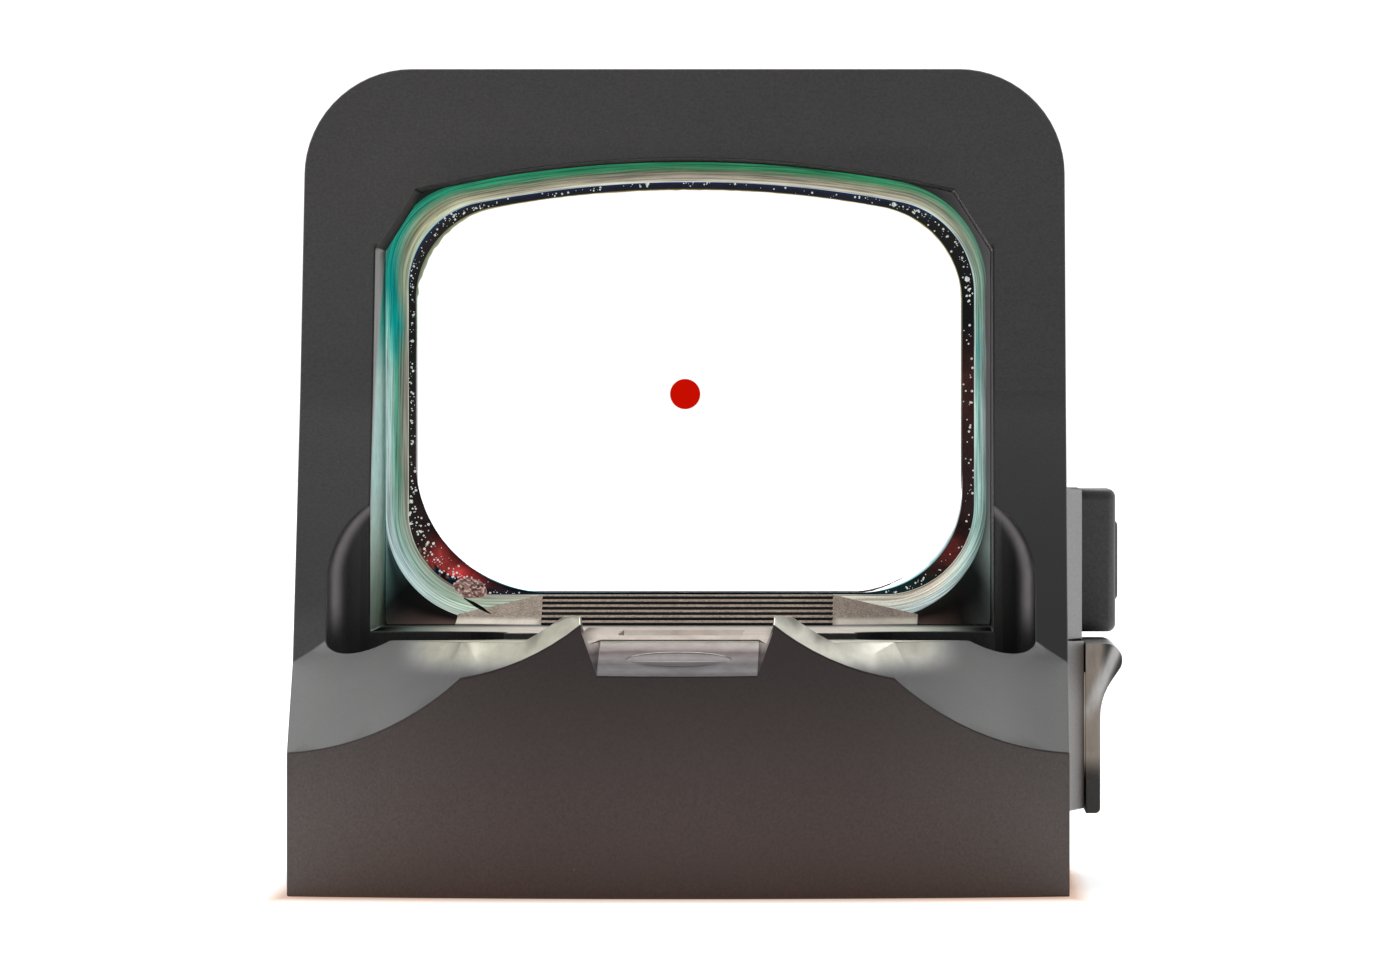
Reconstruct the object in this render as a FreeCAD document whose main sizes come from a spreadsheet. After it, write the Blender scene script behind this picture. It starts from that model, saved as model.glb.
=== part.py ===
import FreeCAD, Part
import math
import os

import Sketcher
from FreeCAD import Placement, Rotation, Vector

# Open reflex red dot finder. Millimetres. +Y points forward, away from the observer, +X to the
# observer's right and +Z up. The origin is on the bottom face, midway between the two mounting
# screws. Every driving size is a cell of the spreadsheet "sizes".

DRIVING_SIZES = {
    # base
    "half_width": 12.0,
    "rear_corner_y": -8.7,
    "rear_crown_y": -12.2,
    "ridge_z": 8.6,
    "ridge_front_y": -10.4,
    "rear_deck_z": 7.8,
    "deck_step_y": -2.1,
    "deck_z": 8.0,
    "nose_y": 27.8,
    "nose_z": 5.2,
    # hood
    "hood_foot_y": -2.55,
    "hood_foot_z": 7.0,
    "hood_knee_y": 5.6,
    "hood_knee_z": 15.3,
    "hood_crest_y": 12.8,
    "hood_top_z": 25.7,
    "hood_front_y": 24.5,
    "hood_toe_y": 26.1,
    "hood_corner": 3.34,
    # rear sighting notch
    "notch_low_half": 2.45,
    "notch_low_z": 6.8,
    "notch_high_half": 2.9,
    "notch_high_z": 8.05,
    # sight tunnel and lens
    "tunnel_half": 9.71,
    "tunnel_corner_z": 19.96,
    "tunnel_shoulder": 8.5,
    "tunnel_shoulder_z": 21.86,
    "tunnel_crown_z": 22.87,
    "clear_half": 8.77,
    "clear_floor_z": 9.05,
    "clear_corner_z": 20.85,
    "clear_crown_z": 22.01,
    "clear_top_fillet": 3.0,
    "clear_low_fillet": 3.7,
    "lens_rim": 0.8,
    "lens_y": 21.3,
    "lens_thick": 2.0,
    "bond_thick": 0.3,
    # anti-glare ramp in front of the lens
    "ramp_half": 7.4,
    "ramp_rear_y": 17.4,
    "ramp_front_y": 21.2,
    "ramp_top_z": 8.98,
    "rib_half": 4.65,
    "rib_pitch": 0.63,
    "rib_gap": 0.3,
    "rib_depth": 0.22,
    # mounting screws
    "screw_half_spacing": 8.2,
    "screw_hole": 1.6,
    "head_pocket": 2.8,
    "head_pocket_z": 3.3,
    "head_pocket_run": 1.5,
    # side flank, drawer slot and switch pocket
    "flank_x": 12.55,
    "flank_floor_z": 2.45,
    "flank_top_z": 12.4,
    "flank_front_y": 25.9,
    "slot_rear_y": 4.5,
    "slot_front_y": 21.9,
    "slot_floor_z": 2.6,
    "slot_roof_z": 6.8,
    "slot_end_x": -7.5,
    "switch_x": 10.6,
    "switch_y": 21.9,
    "switch_z": 10.09,
    # coin cell
    "cell_radius": 8.0,
    "cell_thick": 3.2,
    "cell_x": 1.4,
    # adjusters
    "adjuster_head": 1.5,
    "adjuster_shaft": 0.75,
    "elevation_y": -8.2,
    "windage_y": -5.4,
    "windage_z": 2.2,
    "running_gap": 0.05,
    "adjust_travel": 0.3,
    # underside
    "plate_recess": 0.8,
    "plate_thick": 0.6,
}

OVERCUT = 1.0
RIB_COUNT = 6
SCOOP_RISE = 0.43
RAMP_FALL = 0.23


class Size:
    """A length that carries its number and the sheet expression that gives it."""

    def __init__(self, number, text):
        self.number = number
        self.text = text

    def _join(self, other, sign, number):
        return Size(number, f"({self.text} {sign} {as_size(other).text})")

    def __add__(self, other):
        return self._join(other, "+", self.number + as_size(other).number)

    def __sub__(self, other):
        return self._join(other, "-", self.number - as_size(other).number)

    def __mul__(self, other):
        return self._join(other, "*", self.number * as_size(other).number)

    def __truediv__(self, other):
        return self._join(other, "/", self.number / as_size(other).number)

    def __neg__(self):
        return Size(-self.number, f"(0 - {self.text})")

    __radd__ = __add__


def as_size(value):
    if isinstance(value, Size):
        return value
    if value < 0:
        return Size(value, f"(0 - {-value})")
    return Size(value, str(value))


doc = FreeCAD.newDocument("red_dot_finder")
sheet = doc.addObject("Spreadsheet::Sheet", "sizes")
D = {}
for row, (alias, number) in enumerate(DRIVING_SIZES.items(), start=1):
    sheet.set(f"A{row}", alias.replace("_", " "))
    sheet.set(f"B{row}", str(number))
    sheet.setAlias(f"B{row}", alias)
    D[alias] = Size(number, f"sizes.{alias}")
doc.recompute()

ORIGIN = -1
SKETCH_X_AXIS = -1
SKETCH_Y_AXIS = -2
nodes = []


def bind(thing, prop, value):
    thing.setExpression(prop, as_size(value).text)


# --- sketches -------------------------------------------------------------------------------


def short_arc(start, end, radius):
    """The short arc from start to end; a positive radius bulges to the right of the travel."""
    chord = end - start
    half = chord.Length / 2
    reach = math.sqrt(radius * radius - half * half)
    left = Vector(-chord.y, chord.x, 0).normalize()
    centre = (start + end) / 2 + left * math.copysign(reach, radius)
    first, last = (start, end) if radius > 0 else (end, start)
    angles = [math.atan2(spot.y - centre.y, spot.x - centre.x) for spot in (first, last)]
    if angles[1] < angles[0]:
        angles[1] += 2 * math.pi
    return Part.ArcOfCircle(Part.Circle(centre, Vector(0, 0, 1), abs(radius)), *angles)


def pin_point(sketch, edge, end, x, y):
    """Fixes one end of an edge at (x, y), each bound to its size."""
    for kind, axis, value in (("DistanceX", SKETCH_Y_AXIS, x), ("DistanceY", SKETCH_X_AXIS, y)):
        if abs(value.number) < 1e-9:
            sketch.addConstraint(Sketcher.Constraint("PointOnObject", edge, end, axis))
            continue
        index = sketch.addConstraint(Sketcher.Constraint(kind, ORIGIN, 1, edge, end, value.number))
        sketch.setExpression(f"Constraints[{index}]", value.text)


def add_outline(sketch, points):
    """Adds a closed outline. A point is (x, y) or (x, y, radius of the arc that starts there)."""
    corners = [(as_size(p[0]), as_size(p[1])) for p in points]
    spots = [Vector(x.number, y.number, 0) for x, y in corners]
    first = sketch.GeometryCount
    for i, point in enumerate(points):
        here, there = spots[i], spots[(i + 1) % len(points)]
        edge = first + i
        if len(point) == 2:
            sketch.addGeometry(Part.LineSegment(here, there), False)
            pin_point(sketch, edge, 1, *corners[i])
            continue
        radius = as_size(point[2])
        sketch.addGeometry(short_arc(here, there, radius.number), False)
        start_end = 1 if radius.number > 0 else 2
        pin_point(sketch, edge, start_end, *corners[i])
        pin_point(sketch, edge, 3 - start_end, *corners[(i + 1) % len(points)])
        index = sketch.addConstraint(Sketcher.Constraint("Radius", edge, abs(radius.number)))
        if isinstance(point[2], Size):
            sketch.setExpression(f"Constraints[{index}]", radius.text)
    for i, point in enumerate(points):
        following = (i + 1) % len(points)
        if len(point) == 2 and len(points[following]) == 2:
            sketch.addConstraint(Sketcher.Constraint("Coincident", first + i, 2, first + following, 1))
        elif len(point) == 2:
            pin_point(sketch, first + i, 2, *corners[following])


def sketch_on(body, role, name, offset=None):
    """An empty sketch on one of the body's own origin planes, moved along the plane's normal."""
    sketch = body.newObject("Sketcher::SketchObject", name)
    plane = next(f for f in body.Origin.OriginFeatures if f.Role == role)
    sketch.AttachmentSupport = [(plane, "")]
    sketch.MapMode = "FlatFace"
    if offset is not None:
        bind(sketch, "AttachmentOffset.Base.z", offset)
    return sketch


def outline(body, role, name, points, offset=None):
    sketch = sketch_on(body, role, name, offset)
    add_outline(sketch, points)
    return sketch


def circle(body, role, name, x, y, radius, offset=None):
    sketch = sketch_on(body, role, name, offset)
    x, y, radius = as_size(x), as_size(y), as_size(radius)
    sketch.addGeometry(Part.Circle(Vector(x.number, y.number, 0), Vector(0, 0, 1), radius.number))
    pin_point(sketch, 0, 3, x, y)
    index = sketch.addConstraint(Sketcher.Constraint("Radius", 0, radius.number))
    sketch.setExpression(f"Constraints[{index}]", radius.text)
    return sketch


def rectangle(left, right, low, high):
    return [(left, low), (right, low), (right, high), (left, high)]


# --- PartDesign features --------------------------------------------------------------------


def new_body(label):
    body = doc.addObject("PartDesign::Body", label)
    body.Label = label
    nodes.append(body)
    return body


def pad(body, sketch, length, reverse=False, middle=False, direction=None):
    feature = body.newObject("PartDesign::Pad", "Pad_" + sketch.Name)
    feature.Profile = sketch
    feature.Reversed = reverse
    feature.SideType = "Symmetric" if middle else "One side"
    if direction is not None:
        feature.UseCustomVector = True
        feature.Direction = direction
    bind(feature, "Length", length)
    doc.recompute()
    return feature


def pocket(body, sketch, length, reverse=False, middle=False, direction=None):
    before = body.Shape.Volume
    feature = body.newObject("PartDesign::Pocket", "Pocket_" + sketch.Name)
    feature.Profile = sketch
    feature.Reversed = reverse
    feature.SideType = "Symmetric" if middle else "One side"
    if direction is not None:
        feature.UseCustomVector = True
        feature.Direction = direction
    bind(feature, "Length", length)
    doc.recompute()
    if body.Shape.Volume > before - 1e-4:
        raise ValueError(f"{sketch.Name} cuts nothing")
    return feature


def edge_names(shape, wanted):
    return [f"Edge{i}" for i, edge in enumerate(shape.Edges, start=1) if wanted(edge)]


def runs_along(edge, axis):
    if not isinstance(edge.Curve, Part.Line):
        return False
    return abs(abs(edge.tangentAt(edge.FirstParameter).dot(axis)) - 1) < 1e-6


def fillet(body, wanted, radius, name):
    doc.recompute()
    base = body.Tip
    names = edge_names(base.Shape, wanted)
    if not names:
        raise ValueError(f"{name} finds no edge")
    feature = body.newObject("PartDesign::Fillet", name)
    feature.Base = (base, names)
    bind(feature, "Radius", radius)
    doc.recompute()
    return feature


def along_y(edge):
    return runs_along(edge, Vector(0, 1, 0))


def middle_of(edge):
    return edge.CenterOfMass


# --- Part primitives ------------------------------------------------------------------------


def place(thing, x, y, z, rotation=None):
    if rotation is not None:
        thing.Placement = Placement(Vector(0, 0, 0), rotation)
    bind(thing, "Placement.Base.x", x)
    bind(thing, "Placement.Base.y", y)
    bind(thing, "Placement.Base.z", z)


def box(name, x0, x1, y0, y1, z0, z1):
    thing = doc.addObject("Part::Box", name)
    bind(thing, "Length", as_size(x1) - x0)
    bind(thing, "Width", as_size(y1) - y0)
    bind(thing, "Height", as_size(z1) - z0)
    place(thing, x0, y0, z0)
    return thing


ALONG_X = Rotation(Vector(0, 1, 0), 90)


def cylinder(name, radius, length, x, y, z, rotation=None):
    thing = doc.addObject("Part::Cylinder", name)
    bind(thing, "Radius", radius)
    bind(thing, "Height", length)
    place(thing, x, y, z, rotation)
    return thing


def torus(name, ring, cord, x, y, z, rotation=None):
    thing = doc.addObject("Part::Torus", name)
    bind(thing, "Radius1", ring)
    bind(thing, "Radius2", cord)
    place(thing, x, y, z, rotation)
    return thing


def fuse(name, *pieces):
    thing = doc.addObject("Part::MultiFuse", name)
    thing.Shapes = list(pieces)
    return thing


def cut(name, base, *tools):
    thing = doc.addObject("Part::Cut", name)
    thing.Base = base
    thing.Tool = tools[0] if len(tools) == 1 else fuse(name + "_tools", *tools)
    return thing


def node(thing, label):
    thing.Label = label
    nodes.append(thing)
    return thing


# --- outlines used by more than one piece -----------------------------------------------------


def window_outline(rim):
    """The lens opening, grown by rim on every side; its top is arched."""
    half = D["clear_half"] + rim
    floor = D["clear_floor_z"] - rim
    corner = D["clear_corner_z"] + rim
    sag = D["clear_crown_z"] - D["clear_corner_z"]
    radius = (half * half + sag * sag) / (sag * 2)
    return [(-half, floor), (half, floor), (half, corner, radius), (-half, corner)]


def round_window(body, name, rim):
    """Rounds the four corners of a window outline that was grown by rim."""
    half = D["clear_half"].number + as_size(rim).number
    middle_z = (D["clear_floor_z"].number + D["clear_crown_z"].number) / 2
    for part, above, radius in (("Top", True, "clear_top_fillet"), ("Low", False, "clear_low_fillet")):
        def corner(edge):
            spot = middle_of(edge)
            return along_y(edge) and abs(abs(spot.x) - half) < 1e-3 and (spot.z > middle_z) == above
        fillet(body, corner, D[radius] + rim, name + part)


def window_prism(body, name, rim, y, length, hole_rim=None):
    """Pads the window outline from y forwards, opens it if hole_rim is given, and rounds it."""
    pad(body, outline(body, "XZ_Plane", name, window_outline(rim), -y), length, reverse=True)
    if hole_rim is not None:
        hole = window_outline(as_size(hole_rim))
        pocket(body, outline(body, "XZ_Plane", name + "Hole", hole, -(y - OVERCUT)), 3)
        round_window(body, name + "Hole", hole_rim)
    round_window(body, name, rim)


def plate_outline(inset):
    """T-shaped outline of the underside cover, narrow between the mounting screws."""
    waist = D["screw_half_spacing"] - 2.1 - inset
    wide = D["half_width"] - 1.5 - inset
    rear = D["ridge_front_y"] + 0.2 + inset
    shoulder = D["screw_hole"] + 2.2 + inset
    front = D["nose_y"] - 3.4 - inset
    return [(-waist, rear), (waist, rear), (waist, shoulder), (wide, shoulder),
            (wide, front), (-wide, front), (-wide, shoulder), (-waist, shoulder)]


# --- housing ----------------------------------------------------------------------------------


def base_outline():
    crown = D["rear_corner_y"] - D["rear_crown_y"]
    radius = (D["half_width"] * D["half_width"] + crown * crown) / (crown * 2)
    return [(-D["half_width"], D["rear_corner_y"], radius), (D["half_width"], D["rear_corner_y"]),
            (D["half_width"], D["nose_y"]), (-D["half_width"], D["nose_y"])]


def scoop_outline(side):
    """Thumb scoop at one rear corner: a concave shoulder that breaks into a deeper concave arc."""
    high = D["ridge_z"] + 4
    return [(2.7 * side, 8.5, 10.0 * side), (6.63 * side, 6.29, 13.0 * side), (12.6 * side, 2.72),
            (12.6 * side, high), (2.7 * side, high)]


def rib_gaps():
    """One small slot across the ramp for each rib."""
    rise = (D["ramp_top_z"] - D["deck_z"]) / (D["ramp_front_y"] - D["ramp_rear_y"])
    for i in range(RIB_COUNT):
        rear = D["ramp_rear_y"] + D["rib_pitch"] * i + 0.1
        front = rear + D["rib_gap"]
        floor = D["deck_z"] + rise * (rear - D["ramp_rear_y"]) - D["rib_depth"]
        yield [(rear, floor), (front, floor), (front, D["ramp_top_z"] + OVERCUT),
               (rear, D["ramp_top_z"] + OVERCUT)]


def add_base(body):
    pad(body, outline(body, "XY_Plane", "BasePlan", base_outline()), D["ridge_z"])
    high = D["ridge_z"] + OVERCUT
    front = D["nose_y"] + OVERCUT
    decks = [(D["ridge_front_y"], D["rear_deck_z"]), (D["deck_step_y"], D["rear_deck_z"]),
             (D["deck_step_y"], D["deck_z"]), (D["hood_toe_y"], D["deck_z"]),
             (D["nose_y"], D["nose_z"]), (front, D["nose_z"]), (front, high), (D["ridge_front_y"], high)]
    full = D["half_width"] * 2 + OVERCUT * 2
    pocket(body, outline(body, "YZ_Plane", "Decks", decks), full, middle=True)
    uphill = Vector(0, 1, SCOOP_RISE)
    for side, name in ((1, "ScoopRight"), (-1, "ScoopLeft")):
        sketch = outline(body, "XZ_Plane", name, scoop_outline(side), -D["rear_crown_y"])
        pocket(body, sketch, 24, direction=uphill)
    add_notch(body)


def add_notch(body):
    """Sighting notch: a shallow ramp that climbs from the rear edge to the front deck."""
    rise = (D["deck_z"] - D["notch_low_z"]) / (D["deck_step_y"] - D["rear_crown_y"])
    flush_y = D["deck_step_y"] - (D["deck_z"] - D["rear_deck_z"]) / rise - 0.26
    half, high = D["notch_high_half"], D["notch_high_z"]
    mouth = [(-D["notch_low_half"], D["notch_low_z"]), (D["notch_low_half"], D["notch_low_z"]),
             (half, high), (half + 0.25, high + 2), (-half - 0.25, high + 2), (-half, high)]
    sketch = outline(body, "XZ_Plane", "RearNotch", mouth, -D["rear_crown_y"])
    pocket(body, sketch, flush_y - D["rear_crown_y"], direction=Vector(0, 1, rise.number))
    flush_z = D["notch_low_z"] + rise * (flush_y - D["rear_crown_y"])
    apron = [(flush_y, D["rear_deck_z"] - 0.2), (D["deck_step_y"] + 0.1, D["rear_deck_z"] - 0.2),
             (D["deck_step_y"] + 0.1, D["deck_z"]), (D["deck_step_y"], D["deck_z"]), (flush_y, flush_z)]
    pad(body, outline(body, "YZ_Plane", "NotchApron", apron), half * 2 + 0.6, middle=True)


def add_hood(body):
    side = [(D["hood_foot_y"], D["hood_foot_z"]), (D["hood_toe_y"], D["hood_foot_z"]),
            (D["hood_front_y"], D["hood_top_z"]), (D["hood_crest_y"], D["hood_top_z"]),
            (D["hood_knee_y"], D["hood_knee_z"])]
    pad(body, outline(body, "YZ_Plane", "HoodSide", side), D["half_width"] * 2, middle=True)
    top = D["hood_top_z"].number - 1e-3
    fillet(body, lambda edge: along_y(edge) and middle_of(edge).z > top, D["hood_corner"], "HoodCorners")
    knee_y, knee_z = D["hood_knee_y"].number, D["hood_knee_z"].number

    def on_knee(edge):
        spot = middle_of(edge)
        return abs(spot.y - knee_y) < 1e-3 and abs(spot.z - knee_z) < 1e-3
    fillet(body, on_knee, 9.0, "HoodKnee")


def add_tunnel(body):
    shoulder = D["tunnel_shoulder"]
    sag = D["tunnel_crown_z"] - D["tunnel_shoulder_z"]
    radius = (shoulder * shoulder + sag * sag) / (sag * 2)
    opening = [(-D["tunnel_half"], D["deck_z"]), (D["tunnel_half"], D["deck_z"]),
               (D["tunnel_half"], D["tunnel_corner_z"]), (shoulder, D["tunnel_shoulder_z"], radius),
               (-shoulder, D["tunnel_shoulder_z"]), (-D["tunnel_half"], D["tunnel_corner_z"])]
    start = D["hood_foot_y"] - OVERCUT
    end = D["lens_y"] + D["lens_thick"] + D["bond_thick"]
    sketch = outline(body, "XZ_Plane", "Tunnel", opening, -start)
    pocket(body, sketch, end - start)
    sketch = outline(body, "XZ_Plane", "ClearWindow", window_outline(as_size(0)), -(end - OVERCUT))
    pocket(body, sketch, 6)
    inside = D["clear_half"].number + 1e-3

    def window_corner(edge):
        spot = middle_of(edge)
        return along_y(edge) and abs(spot.x) < inside and spot.y > end.number and spot.z > 8.5
    fillet(body, window_corner, D["clear_top_fillet"], "WindowCorners")


def add_ramp(body):
    ramp = [(D["ramp_rear_y"], D["deck_z"] - 0.5), (D["ramp_front_y"], D["deck_z"] - 0.5),
            (D["ramp_front_y"], D["ramp_top_z"]), (D["ramp_rear_y"], D["deck_z"])]
    pad(body, outline(body, "YZ_Plane", "Ramp", ramp), D["rib_half"] * 2, middle=True)
    for side, name in ((1, "RampRight"), (-1, "RampLeft")):
        sketch = outline(body, "YZ_Plane", name, ramp, D["rib_half"] * side)
        falling = Vector(1, 0, -RAMP_FALL * side)
        pad(body, sketch, D["ramp_half"] - D["rib_half"], reverse=side < 0, direction=falling)
    sketch = sketch_on(body, "YZ_Plane", "RibGaps")
    for gap in rib_gaps():
        add_outline(sketch, gap)
    pocket(body, sketch, D["rib_half"] * 2, middle=True)


def add_flank(body):
    """Raised pad on the right side that carries the battery drawer and the button."""
    wall = D["half_width"]
    inside = wall - 0.8
    for name, start, low, high in (("FlankLow", -1.0, D["flank_floor_z"], D["slot_roof_z"] + 0.9),
                                   ("FlankHigh", 6.5, D["slot_roof_z"] + 0.9, D["flank_top_z"])):
        plan = [(inside, start), (wall, start), (D["flank_x"], start + 5),
                (D["flank_x"], D["flank_front_y"] - 0.5), (wall, D["flank_front_y"]),
                (inside, D["flank_front_y"])]
        pad(body, outline(body, "XY_Plane", name, plan, low), high - low)


def add_screw_seats(body):
    for side, name in ((1, "Right"), (-1, "Left")):
        x = D["screw_half_spacing"] * side
        radius = D["head_pocket"]
        rear = -D["head_pocket_run"]
        sketch = sketch_on(body, "XY_Plane", "HeadPocket" + name, D["head_pocket_z"])
        top = [(x - radius, as_size(0)), (x - radius, rear), (x, rear - radius), (x + radius, rear),
               (x + radius, as_size(0)), (x, radius)]
        bend = radius
        points = [top[0], (*top[1], bend), (*top[2], bend), top[3], (*top[4], bend), (*top[5], bend)]
        add_outline(sketch, points)
        pocket(body, sketch, 20, reverse=True)
        sketch = circle(body, "XY_Plane", "MountHole" + name, x, 0, D["screw_hole"])
        pocket(body, sketch, D["head_pocket_z"] + OVERCUT, reverse=True)


def add_slot(body):
    slot = rectangle(D["slot_rear_y"], D["slot_front_y"], D["slot_floor_z"], D["slot_roof_z"])
    sketch = outline(body, "YZ_Plane", "DrawerSlot", slot, D["slot_end_x"])
    pocket(body, sketch, 24, reverse=True)
    detent = rectangle(5.0, 9.4, 3.6, 5.8)
    sketch = outline(body, "XZ_Plane", "DetentPocket", detent, -(D["slot_rear_y"] + OVERCUT))
    pocket(body, sketch, OVERCUT + 0.6, reverse=True)
    roof_gap = rectangle(-3.2, 3.4, 11.6, 14.8)
    sketch = outline(body, "XY_Plane", "RoofContactSeat", roof_gap, D["slot_roof_z"] - 0.2)
    pocket(body, sketch, 0.6, reverse=True)


def add_underside(body):
    pocket(body, outline(body, "XY_Plane", "PlateRecess", plate_outline(0)), D["plate_recess"],
           reverse=True)
    board = rectangle(-8.6, 8.6, D["slot_rear_y"] + 0.1, D["slot_front_y"] + 0.5)
    pocket(body, outline(body, "XY_Plane", "BoardBay", board), 2.0, reverse=True)
    link = rectangle(-1.6, 1.6, -2.0, D["slot_rear_y"] + OVERCUT)
    pocket(body, outline(body, "XY_Plane", "FlexWay", link), 2.0, reverse=True)
    pocket(body, outline(body, "XY_Plane", "EmitterBay", rectangle(-4.2, 4.2, -6.6, -1.4)), 6.4,
           reverse=True)
    pocket(body, outline(body, "XY_Plane", "TongueBay", rectangle(-4.2, 4.2, -9.6, -6.5)), 5.85,
           reverse=True)
    finger = rectangle(-6.4, -1.6, 12.2, 14.2)
    pocket(body, outline(body, "XY_Plane", "FingerHole", finger), D["slot_floor_z"] + 0.2, reverse=True)


def add_light_way(body):
    """Sloping channel through which the emitter looks up at the lens."""
    way = [(-2.6, 4.4), (-1.4, 4.4), (4.2, 7.1), (7.4, 8.3), (-2.6, 8.3)]
    pocket(body, outline(body, "YZ_Plane", "LightWay", way), 3.8, middle=True)


def add_adjuster_seats(body):
    shaft = D["adjuster_shaft"] + D["running_gap"]
    seat = D["adjuster_head"] + 0.1
    ring = D["adjuster_shaft"] + 0.55
    y = D["elevation_y"]
    for name, radius, low, length in (("ElevationSeat", seat, 6.55, 3.0), ("ElevationBore", shaft, 5.5, 2.0),
                                      ("ElevationGroove", ring, 6.0, 0.6)):
        pocket(body, circle(body, "XY_Plane", name, 0, y, radius, low), length, reverse=True)
    y, z = D["windage_y"], D["windage_z"]
    for name, radius, start, length in (("WindageSeat", seat, 10.55, 3.0), ("WindageBore", shaft, 3.0, 8.0),
                                        ("WindageGroove", ring, 9.9, 0.7)):
        pocket(body, circle(body, "YZ_Plane", name, y, z, radius, start), length, reverse=True)


def add_switch_pocket(body):
    y, z = D["switch_y"], D["switch_z"]
    opening = rectangle(y - 2.8, y + 2.8, z - 1.83, z + 1.83)
    pocket(body, outline(body, "YZ_Plane", "SwitchPocket", opening, D["switch_x"]), 4, reverse=True)
    way = rectangle(D["switch_x"], D["switch_x"] + 0.8, 22.5, 23.5)
    pocket(body, outline(body, "XY_Plane", "SwitchWay", way, 1.0), 8, reverse=True)
    crossing = rectangle(8.0, D["switch_x"] + 0.4, 21.2, 23.5)
    pocket(body, outline(body, "XY_Plane", "SwitchCrossing", crossing, 0.5), 1.5, reverse=True)


PLATE_SCREWS = ((-4.9, -8.0), (4.9, -8.0), (-9.3, 20.0), (9.3, 20.0), (-9.3, 7.0), (9.3, 7.0))


def add_plate_screw_holes(body):
    sketch = sketch_on(body, "XY_Plane", "PlateScrewHoles")
    for i, (x, y) in enumerate(PLATE_SCREWS):
        sketch.addGeometry(Part.Circle(Vector(x, y, 0), Vector(0, 0, 1), 0.42))
        pin_point(sketch, i, 3, as_size(x), as_size(y))
        sketch.addConstraint(Sketcher.Constraint("Radius", i, 0.42))
    pocket(body, sketch, 2.3, reverse=True)


def make_housing():
    body = new_body("housing")
    add_base(body)
    add_hood(body)
    add_tunnel(body)
    add_ramp(body)
    add_flank(body)
    add_screw_seats(body)
    add_slot(body)
    add_underside(body)
    add_light_way(body)
    add_adjuster_seats(body)
    add_switch_pocket(body)
    add_plate_screw_holes(body)


# --- lens ---------------------------------------------------------------------------------------


def make_lens():
    window_prism(new_body("lens"), "LensPlan", D["lens_rim"], D["lens_y"], D["lens_thick"])


def make_lens_bond():
    y = D["lens_y"] + D["lens_thick"]
    window_prism(new_body("lens_bond"), "BondPlan", D["lens_rim"], y, D["bond_thick"], hole_rim=0.02)


# --- underside ------------------------------------------------------------------------------------


def make_base_plate():
    body = new_body("base_plate")
    pad(body, outline(body, "XY_Plane", "PlatePlan", plate_outline(as_size(0.1))), D["plate_thick"])
    sketch = sketch_on(body, "XY_Plane", "PlateHoles")
    for i, (x, y) in enumerate(PLATE_SCREWS):
        sketch.addGeometry(Part.Circle(Vector(x, y, 0), Vector(0, 0, 1), 0.9))
        pin_point(sketch, i, 3, as_size(x), as_size(y))
        sketch.addConstraint(Sketcher.Constraint("Radius", i, 0.9))
    pocket(body, sketch, 2, reverse=True)


def make_base_gasket():
    body = new_body("base_gasket")
    thick = D["plate_recess"] - D["plate_thick"]
    sketch = outline(body, "XY_Plane", "GasketPlan", plate_outline(as_size(0.1)), D["plate_thick"])
    add_outline(sketch, plate_outline(as_size(1.0)))
    pad(body, sketch, thick)
    sketch = sketch_on(body, "XY_Plane", "GasketHoles")
    for i, (x, y) in enumerate(PLATE_SCREWS):
        sketch.addGeometry(Part.Circle(Vector(x, y, 0), Vector(0, 0, 1), 0.5))
        pin_point(sketch, i, 3, as_size(x), as_size(y))
        sketch.addConstraint(Sketcher.Constraint("Radius", i, 0.5))
    pocket(body, sketch, 2, reverse=True)


def make_plate_screws():
    screws = []
    for i, (x, y) in enumerate(PLATE_SCREWS):
        head = cylinder(f"PlateScrewHead{i}", 0.82, 0.5, x, y, 0.05)
        shank = cylinder(f"PlateScrewShank{i}", 0.4, 1.6, x, y, 0.5)
        drive = cylinder(f"PlateScrewDrive{i}", 0.3, 0.3, x, y, -0.05)
        screws.append(cut(f"PlateScrew{i}", fuse(f"PlateScrewBlank{i}", head, shank), drive))
    group = doc.addObject("Part::Compound", "PlateScrews")
    group.Links = screws
    node(group, "base_plate_screws")


# --- electronics ------------------------------------------------------------------------------------


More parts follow.
